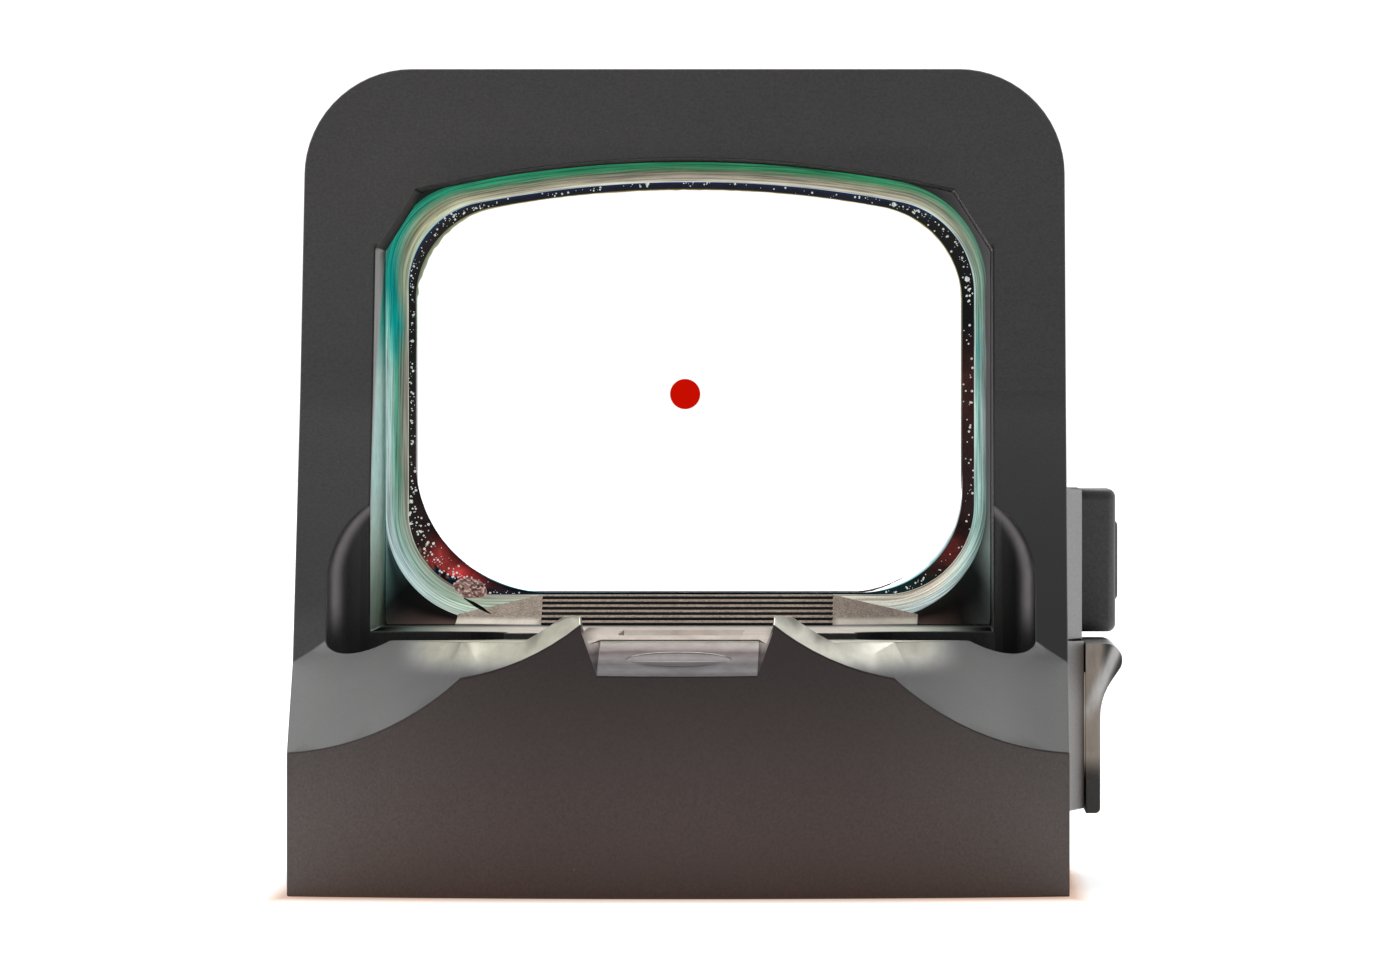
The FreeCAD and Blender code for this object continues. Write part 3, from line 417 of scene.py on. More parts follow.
def housing_anodised():
    """The housing: blasted grain, painted light and shade on its outside and in the screw pockets, painted
    shade on the tunnel ceiling and along the tunnel's mouth, a painted glow on the anti-glare ramp, the
    counterbore and the pocket rims, and a gloss with painted reflection tints on the decks, the notch and
    the tunnel walls, which shows where they are seen along."""
    material, shader, tone = blasted_anodised("housing_anodised", 0.053, 0.096)
    here = Places()
    skim = skim_factor(0.75, 0.87)
    tone = outside_painted_light(here, tone)
    # Painted shade in the left screw-head pocket, painted light in the right one.
    pocket_shade = mix(fade(here.x, -1.0, 1.0), 0.5, 1.5)
    tone = shade(pocket_mask(here), tone, pocket_shade)
    # Painted shade: the tunnel ceiling under the hood is made near black.
    ceiling = zone((here.nz, -0.25, -0.6), (here.z, 18.0, 19.0))
    tone = mix(ceiling, tone, 0.002)
    # Painted shade along the rear edges of the tunnel's side walls.
    mouth = zone((here.side, 9.63, 9.67), (here.side, 9.79, 9.75), (here.z, 8.4, 8.6),
                 (here.z, 20.2, 20.0), (here.y, 12.0, 11.0))
    tone = mix(mouth, tone, 0.012)

    sandy, sand = ramp_sand_glow(here)
    notch, counterbore, bands = notch_zones(here, skim)
    rim = pocket_rim_highlight(here)
    # Painted light: the ramp, the counterbore wall and the pocket rims glow with these tones.
    painted_glow_tone = mix(sandy, 0.0, sand)
    painted_glow_tone = mix(counterbore, painted_glow_tone, bands)
    painted_glow_tone = mix(rim, painted_glow_tone, linear(114, 109, 111))
    painted_glow_mask = largest(sandy, rim, counterbore)

    deck, scoop = deck_gloss(here, skim)
    left, right = wall_gloss(here, skim)
    # Painted reflection tints of the gloss zones; the gloss itself comes from the glossy shader.
    tint = 0.5
    for mask, colour in (deck, scoop, (notch, bands), left, right):
        tint = mix(mask, tint, colour)
    gloss_zones = largest(deck[0], scoop[0], notch, left[0], right[0])
    gloss_zones = times(minus(1.0, painted_glow_mask), gloss_zones)

    streaky = spread(noise_value(0.5, detail=4, stretch=(1, 0.3, 1)), 0.86, 1.1)
    grained = shader.inputs["Roughness"].links[0].from_socket
    rough = largest(grained, times(ceiling, 0.95), times(painted_glow_mask, 0.9))
    coat(shader, Base_Color=mix(painted_glow_mask, tone, 0.01), Roughness=rough,
         Emission_Color=mix(1.0, painted_glow_tone, streaky, "MULTIPLY"), Emission_Strength=painted_glow_mask)
    gloss = add("BsdfGlossy", in_Roughness=0.3)
    coat(gloss, Color=mix(1.0, tint, streaky, "MULTIPLY"))
    mix_shaders(gloss_zones, shader, gloss, "Material Output")
    return material


def drawer_anodised():
    """The drawer front: satin, with a pale painted sheen down its middle and a painted highlight in a slanted
    streak under its lip; both glow.
    """
    material, shader, tone = blasted_anodised("drawer_anodised", 0.042, 0.07, warm=(1.08, 1.0, 0.95))
    here = Places()
    slanted = maths("ADD", here.x, times(here.z, -0.42))
    # Painted sheen down the middle and a painted highlight under the lip, given off as glow.
    band = zone((here.x, 11.9, 12.05), (here.x, 13.4, 13.0), (here.z, 3.2, 4.2),
                (here.ny, -0.2, -0.5))
    streak = zone((slanted, 10.1, 10.4), (slanted, 10.8, 10.5), (here.z, 5.0, 6.2))
    grain = noise_value(0.6, detail=4, stretch=(1, 1, 0.3))
    pale = spread(grain, linear(104, 94, 86), linear(146, 136, 126))
    bright = spread(grain, linear(146, 144, 142), linear(190, 188, 186))
    mask = largest(band, streak)
    coat(shader, Base_Color=mix(mask, tone, 0.012), Emission_Strength=mask,
         Emission_Color=mix(streak, mix(band, 0.0, pale), bright))
    return material


def steel(name, tone, gloss, brush, metallic=1.0):
    """Brushed or drawn steel; brush stretches the lines along an axis."""
    material, shader = new_material(name)
    lines = noise_value(0.12, detail=5, stretch=brush)
    coat(shader, Base_Color=spread(lines, tone * 0.8, tone * 1.15), Metallic=metallic,
         Roughness=spread(lines, gloss, gloss + 0.15), Normal=bump(lines, 0.2, 0.006))
    return material


def adjuster_steel():
    """Turned steel of the elevation screw, brightened by a painted glow; its low head carries the notch's
    painted reflection bands on.
    """
    material, shader = new_material("adjuster_steel")
    bands = notch_reflection_bands(axes(place_coordinate(), 1 / MM)[2])
    turned = noise_value(0.1, detail=3)
    coat(shader, Base_Color=bands, Emission_Color=bands, Emission_Strength=0.4, Metallic=0.2,
         Roughness=spread(turned, 0.4, 0.6), Normal=bump(turned, 0.2, 0.005))
    return material


def moulded(name, colour, gloss, metallic=0.0):
    """Moulded rubber, plastic or film, or plated metal: a soft mottle and a fine texture."""
    material, shader = new_material(name)
    mottle = noise_value(0.12, detail=4)
    tone = spread(mottle, [c * 0.82 for c in colour], [min(1, c * 1.2) for c in colour])
    coat(shader, Base_Color=tone, Roughness=spread(mottle, gloss - 0.05, gloss + 0.08),
         Normal=bump(mottle, 0.25, 0.008), Metallic=metallic)
    return material


def clear_coated_glass(name, tint, reflect):
    """Thin coated glass: what is behind shows straight through, with a faint coloured reflection."""
    material, shader = new_material(name)
    tree.nodes.remove(shader)
    smear = noise_value(6.0, detail=3)
    through = add("BsdfTransparent")
    coat(through, Color=spread(smear, tint, [min(1, t * 1.01) for t in tint]))
    mirror = add("BsdfGlossy", in_Roughness=0.03)
    coat(mirror, Color=ramp(smear, [(0.2, reflect), (0.8, [c * 0.9 for c in reflect])]))
    fresnel = add("Fresnel", in_IOR=1.5)
    mix_shaders(fresnel.outputs["Fac"], through, mirror, "Material Output")
    return material


def glow(name, colour, strength):
    """A surface that gives light of its own."""
    material, shader = new_material(name)
    soft = spread(noise_value(0.3), [c * 0.96 for c in colour], colour)
    coat(shader, Emission_Color=soft, Emission_Strength=strength,
         Base_Color=[c * 0.2 for c in colour], Specular_IOR_Level=0.0)
    return material


NODE_MATERIALS = {}
for slot_material, node_names in (
        (housing_anodised(), "housing"),
        (blasted_anodised("trim_anodised", 0.07, 0.12, warm=(1.02, 1.0, 1.0), gloss=0.42)[0], "button_bezel"),
        (drawer_anodised(), "battery_drawer"),
        (blasted_anodised("base_plate_aluminium", 0.03, 0.06)[0], "base_plate"),
        (steel("black_steel", 0.09, 0.3, brush=(1, 1, 6)), "base_plate_screws windage_screw"),
        (adjuster_steel(), "elevation_screw"),
        (steel("spring_steel", 0.6, 0.25, brush=(1, 6, 1)),
         "drawer_detent switch_dome elevation_spring windage_spring"),
        (steel("cell_steel", 0.6, 0.35, brush=(6, 1, 1), metallic=0.35), "coin_cell"),
        (moulded("contact_brass", (0.83, 0.6, 0.26), 0.25, metallic=1.0),
         "battery_contact_low battery_contact_high"),
        (moulded("seal_rubber", (0.02, 0.02, 0.02), 0.6),
         "base_gasket drawer_seal button_boot elevation_oring windage_oring"),
        (moulded("button_rubber", (0.045, 0.038, 0.036), 0.55), "button_cap"),
        (moulded("board_laminate", (0.02, 0.1, 0.045), 0.35), "circuit_board"),
        (moulded("chip_plastic", (0.02, 0.02, 0.022), 0.4), "controller_chip tactile_switch"),
        (moulded("flex_film", (0.4, 0.17, 0.03), 0.25), "emitter_flex switch_flex"),
        (moulded("carriage_plastic", (0.03, 0.03, 0.03), 0.5), "windage_sled emitter_holder"),
        (clear_coated_glass("coated_glass", (1.0, 1.0, 1.0), (0.9, 0.6, 0.5)), "lens"),
        (clear_coated_glass("clear_glass", (0.97, 0.98, 0.98), (0.9, 0.9, 0.95)), "emitter_window"),
        (moulded("lens_adhesive", (0.008, 0.008, 0.01), 0.12), "lens_bond"),
        (glow("emitter_red", (0.77, 0.06, 0.01), 1.5), "led_emitter")):
    for node_name in node_names.split():
        NODE_MATERIALS[node_name] = slot_material

BEVELS = {"housing": 0.05, "button_bezel": 0.05, "battery_drawer": 0.07, "base_plate": 0.05,
          "button_cap": 0.04}


def modify(thing, kind, **settings):
    """Adds a modifier; settings name its properties."""
    made = thing.modifiers.new(kind.lower(), kind)
    for key, value in settings.items():
        setattr(made, key, value)


def finish_node(name):
    """Gives a CAD node its material, softens its edges and shades its curved faces smoothly."""
    thing = NODES[name]
    thing.data.materials.clear()
    thing.data.materials.append(NODE_MATERIALS[name])
    for polygon in thing.data.polygons:
        polygon.use_smooth = True
    modify(thing, "WELD", merge_threshold=1e-7)
    if name in BEVELS:
        modify(thing, "DECIMATE", decimate_type="DISSOLVE", angle_limit=math.radians(0.4))
        modify(thing, "BEVEL", width=BEVELS[name] * MM, segments=3, limit_method="ANGLE",
               angle_limit=math.radians(28), use_clamp_overlap=name != "housing")
        modify(thing, "WEIGHTED_NORMAL", weight=90)
    else:
        modify(thing, "EDGE_SPLIT", split_angle=math.radians(30))


for node_name in NODES:
    finish_node(node_name)


# --- pieces built here ---


def mesh_piece(name, body, material, vertices, faces, colours=None, uvs=None):
    """A smooth mesh piece in millimetres, with optional vertex colours and vertex uvs."""
    mesh = bpy.data.meshes.new(name)
    mesh.from_pydata([Vector(v) * MM for v in vertices], [], faces)
    thing = new_object(name, mesh)
    mesh.materials.append(material)
    for polygon in mesh.polygons:
        polygon.use_smooth = True
    if colours is not None:
        layer = mesh.color_attributes.new("tone", "FLOAT_COLOR", "POINT")
        for i, colour in enumerate(colours):
            layer.data[i].color = rgba(colour)
    if uvs is not None:
        layer = mesh.uv_layers.new(name="along")
        for loop in mesh.loops:
            layer.data[loop.index].uv = uvs[loop.vertex_index]
    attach(thing, body)


lens_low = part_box("lens")[0] / MM

SIDE_STEPS = 90
CORNER_STEPS = 60


def steps(start, end, count):
    """Evenly spaced values from start, leaving out the end."""
    return [start + (end - start) * i / count for i in range(count)]


def straight(start, end):
    return list(zip(steps(start[0], end[0], SIDE_STEPS), steps(start[1], end[1], SIDE_STEPS)))


def ripple(x, z, layer):
    """Smooth noise from -1 to 1; each layer has its own pattern."""
    return noise.noise(Vector((x, z, layer)))


def fan_faces(first, around):
    """Triangles from the point first to the ring of points that follows it."""
    return [(first, first + 1 + k, first + 1 + (k + 1) % around) for k in range(around)]


def ring_faces(first, rows, around):
    """Quads between closed rings of points; the first ring starts at the point first."""
    faces = []
    for r in range(rows):
        for k in range(around):
            a = first + r * around + k
            b = first + r * around + (k + 1) % around
            faces.append((a, b, b + around, a + around))
    return faces


def arc(cx, cz, radius, start, end):
    return [(cx + radius * math.cos(a), cz + radius * math.sin(a)) for a in steps(start, end, CORNER_STEPS)]


def window_outline(left, right, floor, crown, drop, radii):
    """Rounded window outline, from the lower middle round to the right: two sides, a flat floor, an
    arched top that drops by drop at the sides, and the low left, low right, top right, top left radii."""
    low_left, low_right, top_right, top_left = radii
    half = (left + right) / 2
    middle = (right - left) / 2
    arch = (half * half + drop * drop) / (2 * drop)
    arch_z = crown - arch
    right_slope = math.asin((right - top_right - middle) / (arch - top_right))
    left_slope = math.asin((left - top_left + middle) / (arch - top_left))
    right_x, right_z = right - top_right, arch_z + (arch - top_right) * math.cos(right_slope)
    left_x, left_z = top_left - left, arch_z + (arch - top_left) * math.cos(left_slope)
    quarter = math.pi / 2
    points = straight((middle, floor), (right - low_right, floor))
    points += arc(right - low_right, floor + low_right, low_right, -quarter, 0)
    points += straight((right, floor + low_right), (right, right_z))
    points += arc(right_x, right_z, top_right, 0, quarter - right_slope)
    points += [(middle + arch * math.sin(a), arch_z + arch * math.cos(a))
               for a in steps(right_slope, -left_slope, SIDE_STEPS * 2)]
    points += arc(left_x, left_z, top_left, quarter + left_slope, math.pi)
    points += straight((-left, left_z), (-left, floor + low_left))
    points += arc(low_left - left, floor + low_left, low_left, math.pi, 3 * quarter)
    points += straight((low_left - left, floor), (middle, floor))
    return points


# Outlines in the plane of the lens, from the clear opening out to the rim of the lens.
CLEAR_EDGE = window_outline(8.73, 8.80, 9.04, 21.99, 1.16, (4.2, 3.2, 3.1, 3.0))
GLUE_EDGE = window_outline(8.96, 9.18, 8.97, 22.2, 1.18, (2.65, 2.9, 2.95, 2.75))
LINE_EDGE = window_outline(9.04, 9.25, 8.9, 22.28, 1.18, (2.7, 2.95, 3.0, 2.75))
GROUND_EDGE = window_outline(9.3, 9.36, 8.6, 22.52, 1.18, (2.95, 3.2, 3.1, 2.75))
COAT_EDGE = window_outline(9.48, 9.46, 8.4, 22.66, 1.2, (3.1, 3.4, 3.25, 2.75))
LENS_EDGE = window_outline(9.69, 9.57, 8.16, 22.84, 1.25, (3.3, 3.6, 3.4, 2.8))
COUNT = len(CLEAR_EDGE)

# Where each side and corner starts and ends, counted in points along an outline.
SEGMENTS = {}
reached = 0
for segment_name, segment_steps in (
        ("floor_right", SIDE_STEPS), ("low_right", CORNER_STEPS), ("right", SIDE_STEPS),
        ("top_right", CORNER_STEPS), ("top", SIDE_STEPS * 2), ("top_left", CORNER_STEPS),
        ("left", SIDE_STEPS), ("low_left", CORNER_STEPS), ("floor_left", SIDE_STEPS)):
    SEGMENTS[segment_name] = (reached, reached + segment_steps)
    reached += segment_steps


def at(segment, share):
    """Outline position at a share of the way along a named segment."""
    first, last = SEGMENTS[segment]
    return first + (last - first) * share


def outline_keys(*rows):
    """Keys for blend_keys; a row is (segment, share of the way along it, values)."""
    return [(at(segment, share), values) for segment, share, *values in rows]


def blend_keys(index, keys):
    """Colour at an outline position, from (position, colour) keys that wrap round the outline."""
    keys = sorted(keys)
    for (a, first), (b, second) in zip(keys, keys[1:] + [(keys[0][0] + COUNT, keys[0][1])]):
        here = index if index >= a else index + COUNT
        if a <= here <= b:
            share = 0 if b == a else (here - a) / (b - a)
            return [p + (q - p) * share for p, q in zip(first, second)]
    return keys[0][1]


def painted(name, gloss, shine, grain, contrast, line_scale=None):
    """A surface that takes its broad colour from the mesh and its fine stripes or grain from noise, and glows
    with it at strength shine, so the colour shows as painted light.
    """
    material, shader = new_material(name)
    tone = add("VertexColor", layer_name="tone").outputs["Color"]
    uv = add("UVMap", uv_map="along").outputs["UV"]
    fine = noise_value(grain, detail=3, coordinate=uv)
    tone = mix(contrast, tone, spread(fine, 0.5, 1.5), "MULTIPLY")
    height = fine
    if line_scale:
        height = noise_value(line_scale, detail=2, coordinate=uv, stretch=(0.02, 1, 1))
        stripes = ramp(height, [(0.38, 0.5), (0.47, 0.95), (0.53, 1.05), (0.6, 1.4)])
        tone = mix(0.85, tone, stripes, "MULTIPLY")
    coat(shader, Base_Color=mix(0.8, tone, 0.0), Emission_Color=tone, Emission_Strength=shine,
         Specular_IOR_Level=0.15, Roughness=spread(fine, gloss, gloss + 0.15),
         Normal=bump(height, 0.2, 0.01))
    return material


def ring_strip(name, material, rings, stands, colour_at, rows_between):
    """A strip between successive outlines; stands are how far each outline stands off the lens."""
    rows = []
    for inner, outer, low, high in zip(rings, rings[1:], stands, stands[1:]):
        last = outer is rings[-1]
        for k in range(rows_between + (1 if last else 0)):
            share = k / rows_between
            rows.append([(x0 + (x1 - x0) * share, z0 + (z1 - z0) * share, low + (high - low) * share)
                         for (x0, z0), (x1, z1) in zip(inner, outer)])
    total = len(rows) - 1
    vertices, colours, uvs = [], [], []
    offset = [0.0] * COUNT
    for r, row in enumerate(rows):
        run = 0.0
        for i, (x, z, stand) in enumerate(row):
            if i:
                run += math.hypot(x - row[i - 1][0], z - row[i - 1][1])
            if r:
                offset[i] += math.hypot(x - rows[r - 1][i][0], z - rows[r - 1][i][1])
            vertices.append((x, lens_low.y - stand, z))
            colours.append(colour_at(i, r / total, x, z))
            uvs.append((run * MM, offset[i] * MM))
    mesh_piece(name, "housing", material, vertices, ring_faces(0, total, COUNT),
               colours=colours, uvs=uvs)


BLACK = (10, 10, 14)
MAROON = (58, 28, 26)
DARK_BLUE = (16, 22, 40)
NAVY = linear(20, 34, 62)
GLUE_TONES = outline_keys(
    ("floor_right", 0, *BLACK), ("low_right", 0.1, 24, 44, 48), ("low_right", 0.36, 26, 36, 32),
    ("low_right", 0.5, 60, 32, 30), ("low_right", 0.62, 104, 42, 40), ("low_right", 0.75, 48, 26, 25),
    ("low_right", 0.95, 40, 26, 28), ("right", 0.6, *MAROON), ("right", 0.85, *BLACK),
    ("top_right", 0.6, *BLACK), ("top", 0.1, *DARK_BLUE), ("top", 0.9, *DARK_BLUE),
    ("top_left", 0.2, 24, 18, 18), ("left", 0.0, 18, 18, 18), ("left", 0.8, 34, 34, 32),
    ("left", 0.98, 40, 26, 26), ("low_left", 0.16, 34, 28, 27), ("low_left", 0.32, 44, 28, 27),
    ("low_left", 0.38, 84, 34, 32), ("low_left", 0.44, 158, 56, 54), ("low_left", 0.55, 136, 46, 44),
    ("low_left", 0.6, 222, 70, 74), ("low_left", 0.66, 176, 56, 58), ("low_left", 0.73, 92, 40, 44),
    ("low_left", 0.82, 44, 32, 38), ("low_left", 0.95, 28, 30, 44))
GLUE_KEYS = [(place, linear(*tone)) for place, tone in GLUE_TONES] + [(COUNT - 1, linear(*BLACK))]


def glue_colour(i, across, x, z):
    """Black adhesive: navy at its outer edge on the top, maroon on the right, red at lower left."""
    tone = blend_keys(i, GLUE_KEYS)
    patch = ripple(x * 2.1, z * 2.1, 3)
    fleck = ripple(x * 9, z * 9, 4)
    tone = [t * (1 + 0.5 * patch + 0.35 * fleck) for t in tone]
    lower_left = at("low_left", 0.3) < i < at("low_left", 1)
    if lower_left:
        dim = min(1, across / 0.35) * 0.78 + 0.22
        tone = [t * dim for t in tone]
    patch_start = at("low_left", 0.48)
    patch_share = (i - patch_start) / (at("low_left", 0.72) - patch_start)
    if 0 < patch_share < 1 and across > 0.82 - 0.34 * patch_share + 0.12 * patch:
        rim = ripple(x * 16, z * 16, 6)
        if rim > 0.3:
            return linear(150, 70, 36)
        return linear(24, 74, 88) if rim < -0.34 else linear(12, 16, 30)
    if lower_left and across > 0.86 and fleck > 0.1:
        return linear(120, 92, 66)
    if at("top", 0) - 20 < i < at("top_left", 1) and across > 0.72:
        return NAVY
    return tone


def colour_table(stops, *rows):
    """Keys for blend_keys at each stop across a band; a row is (segment, share, a screen colour for
    each stop)."""
    return [(stop, [(place, linear(*colours[k])) for place, colours in outline_keys(*rows)])
            for k, stop in enumerate(stops)]


# Colours of the lens edge at each stop from the adhesive out to the rim: the ground glass and its coating,
# with painted light, the backdrop seen through the glass and the sheen of the coating.
EDGE_BANDS = colour_table(
    (0.0, 0.1, 0.24, 0.42, 0.58, 0.78, 1.0),
    ("floor_right", 0.2, (236, 240, 226), (226, 230, 212), (218, 222, 204), (204, 212, 196),
     (196, 208, 190), (180, 198, 180), (160, 180, 164)),
    ("low_right", 0.1, (240, 244, 232), (120, 96, 84), (226, 218, 200), (214, 214, 200), (204, 212, 200),
     (196, 210, 204), (170, 184, 182)),
    ("low_right", 0.35, (240, 244, 232), (64, 42, 38), (224, 206, 186), (230, 222, 206), (216, 224, 214),
     (208, 222, 220), (170, 190, 192)),
    ("low_right", 0.6, (240, 244, 232), (130, 126, 112), (196, 206, 192), (212, 226, 216),
     (196, 222, 214), (168, 196, 192), (126, 146, 142)),
    ("low_right", 0.85, (200, 224, 218), (140, 184, 178), (166, 202, 194), (176, 214, 204),
     (150, 188, 180), (132, 160, 154), (104, 122, 118)),
    ("right", 0.4, (226, 236, 226), (190, 224, 214), (150, 204, 194), (142, 190, 180), (158, 186, 178),
     (138, 156, 152), (104, 106, 106)),
    ("right", 0.72, (222, 232, 228), (180, 212, 204), (96, 160, 152), (80, 142, 136), (126, 170, 160),
     (132, 152, 148), (104, 104, 106)),
    ("right", 0.95, (206, 220, 226), (176, 208, 196), (130, 170, 150), (120, 156, 138), (132, 164, 148),
     (116, 142, 130), (96, 98, 98)),
    ("top_right", 0.5, (164, 196, 222), (206, 222, 206), (172, 178, 156), (140, 150, 128),
     (152, 166, 142), (106, 158, 128), (70, 138, 108)),
    ("top", 0.04, (168, 196, 224), (214, 214, 196), (196, 190, 168), (150, 146, 126), (112, 140, 108),
     (62, 140, 98), (46, 132, 90)),
    ("top", 0.5, (186, 204, 228), (222, 216, 202), (192, 182, 164), (142, 134, 120), (100, 112, 92),
     (58, 130, 90), (44, 126, 86)),
    ("top", 0.95, (170, 200, 226), (216, 218, 196), (188, 182, 158), (140, 138, 116), (92, 134, 104),
     (52, 144, 106), (40, 136, 100)),
    ("top_left", 0.5, (166, 206, 224), (196, 228, 202), (204, 206, 172), (148, 148, 118), (126, 158, 128),
     (48, 150, 126), (36, 138, 114)),
    ("left", 0.05, (196, 222, 214), (206, 214, 190), (156, 164, 138), (110, 142, 122), (24, 148, 138),
     (0, 152, 144), (40, 160, 150)),
    ("left", 0.2, (222, 226, 204), (176, 186, 164), (128, 142, 124), (12, 144, 136), (0, 150, 142),
     (30, 158, 150), (132, 196, 186)),
    ("left", 0.31, (232, 232, 212), (126, 126, 114), (140, 138, 124), (84, 128, 110), (0, 146, 136),
     (96, 178, 166), (168, 206, 198)),
    ("left", 0.42, (234, 234, 214), (116, 112, 102), (142, 136, 126), (104, 120, 106), (70, 158, 130),
     (156, 200, 188), (178, 206, 202)),
    ("left", 0.85, (226, 230, 212), (132, 126, 116), (150, 150, 136), (116, 146, 126), (94, 158, 134),
     (172, 200, 192), (184, 206, 206)),
    ("low_left", 0.35, (186, 202, 184), (134, 142, 128), (158, 172, 158), (152, 182, 168),
     (162, 188, 184), (176, 200, 202), (178, 202, 204)),
    ("low_left", 0.75, (128, 120, 108), (142, 142, 128), (152, 156, 140), (166, 186, 166),
     (188, 212, 192), (202, 222, 206), (190, 206, 196)),
    ("floor_left", 0.5, (226, 232, 216), (206, 208, 192), (196, 198, 182), (190, 196, 178),
     (186, 198, 180), (170, 186, 168), (150, 168, 152)))

# Colours of the seal bead between the lens and the tunnel wall: painted shade in the gap at the top and in
# the low corners, a painted teal sheen on the left and painted light on the right.
BEAD_LIGHT_BANDS = colour_table(
    (0.0, 0.45, 1.0),
    ("floor_right", 0.9, (70, 58, 52), (60, 50, 46), (50, 42, 40)),
    ("low_right", 0.3, (30, 28, 26), (18, 16, 16), (78, 62, 56)),
    ("low_right", 0.5, (26, 28, 26), (14, 12, 12), (26, 22, 22)),
    ("low_right", 0.66, (24, 28, 26), (22, 25, 24), (60, 66, 64)),
    ("low_right", 0.8, (60, 70, 66), (100, 112, 107), (122, 134, 129)),
    ("right", 0.05, (84, 88, 86), (92, 100, 97), (100, 108, 104)),
    ("right", 0.3, (88, 88, 90), (96, 93, 95), (100, 97, 99)),
    ("right", 1.0, (86, 84, 86), (94, 90, 92), (98, 95, 96)),
    ("top_right", 0.5, (60, 74, 68), (74, 70, 72), (84, 80, 82)),
    ("top", 0.0, (20, 26, 22), (18, 16, 17), (30, 28, 29)),
    ("top", 0.96, (18, 24, 20), (14, 12, 13), (26, 24, 25)),
    ("top_left", 0.5, (24, 74, 62), (30, 40, 38), (52, 50, 51)),
    ("left", 0.08, (50, 156, 146), (80, 168, 160), (110, 176, 168)),
    ("left", 0.35, (166, 206, 198), (174, 204, 198), (176, 202, 198)),
    ("left", 0.95, (176, 202, 200), (170, 196, 194), (150, 180, 178)),
    ("low_left", 0.2, (60, 82, 80), (40, 58, 56), (96, 130, 126)),
    ("low_left", 0.45, (16, 20, 20), (12, 14, 14), (26, 34, 33)),
    ("low_left", 0.75, (22, 20, 18), (24, 18, 17), (96, 78, 72)),
    ("floor_left", 0.1, (70, 58, 52), (60, 50, 46), (50, 42, 40)))


def banded(table, mottle, i, across, x, z):
    """Colour from a table of bands; the bands wander a little along the edge."""
    wander = 0.05 * ripple(x * 1.3, z * 1.3, 1) * (1 - across) * across * 4
    share = min(1.0, max(0.0, across + wander))
    patch = 1 + mottle * ripple(x * 0.9, z * 0.9, 8)
    for (a, first), (b, second) in zip(table, table[1:]):
        if share <= b:
            blend = (share - a) / (b - a)
            low, high = blend_keys(i, first), blend_keys(i, second)
            return [(p + (q - p) * blend) * patch for p, q in zip(low, high)]
    return blend_keys(i, table[-1][1])


FACET_TOP, FACET_SIDE = (8.5, 21.86), (9.71, 19.96)


def inside_tunnel(x, z):
    """Whether a point of the lens plane lies inside the tunnel: arched top, two facets, flat floor."""
    (top_x, top_z), (side_x, side_z) = FACET_TOP, FACET_SIDE
    sag = TUNNEL_CROWN - top_z
    radius = (top_x ** 2 + sag ** 2) / (2 * sag)
    side = abs(x)
    if side > TUNNEL_HALF or z < TUNNEL_FLOOR:
        return False
    if z > TUNNEL_CROWN - radius + math.sqrt(radius ** 2 - side ** 2):
        return False
    return (top_x - side_x) * (z - side_z) - (top_z - side_z) * (side - side_x) > 0


def out_to_tunnel(inner, outer):
    """Carries each outline point on outwards until it meets the tunnel wall."""
    reached = []
    for (x0, z0), (x1, z1) in zip(inner, outer):
        length = math.hypot(x1 - x0, z1 - z0) or 1
        dx, dz = (x1 - x0) / length, (z1 - z0) / length
        run = 0.0
        while run < 3 and inside_tunnel(x1 + dx * (run + 0.01), z1 + dz * (run + 0.01)):
            run += 0.01
        reached.append((x1 + dx * run, z1 + dz * run))
    return reached


def squeezed(inner, outer, width_at):
    """An outline a little inside another one, by a width that depends on the place."""
    points = []
    for i, ((x0, z0), (x1, z1)) in enumerate(zip(inner, outer)):
        length = math.hypot(x1 - x0, z1 - z0) or 1
        width = width_at(i, x0, z0)
        points.append((x0 - (x1 - x0) / length * width, z0 - (z1 - z0) / length * width))
    return points


SQUEEZE_WIDTHS = outline_keys(
    ("floor_right", 0.0, 0.0), ("floor_right", 1.0, 0.01), ("low_right", 0.11, 0.16),
    ("low_right", 0.25, 0.27), ("low_right", 0.5, 0.36), ("low_right", 0.75, 0.27),
    ("low_right", 0.89, 0.16), ("right", 0.02, 0.03), ("right", 0.1, 0.012), ("right", 0.9, 0.02),
    ("top_right", 0.6, 0.045), ("top", 0.1, 0.05), ("top", 0.85, 0.05), ("top_left", 0.35, 0.1),
    ("top_left", 0.8, 0.13), ("top_left", 0.88, 0.06), ("top_left", 0.93, 0.16), ("top_left", 0.99, 0.07),
    ("left", 0.2, 0.05), ("left", 0.35, 0.025), ("left", 1.0, 0.01), ("low_left", 0.6, 0.03),
    ("low_left", 0.85, 0.07), ("floor_left", 0.3, 0.06), ("floor_left", 0.7, 0.0))


def squeeze_width(i, x, z):
    """Width of the resin that squeezed out past the adhesive; it fills the low right corner."""
    ragged = 1 + 0.35 * ripple(x * 4, z * 4, 5)
    return max(0.002, blend_keys(i, SQUEEZE_WIDTHS)[0] * ragged)


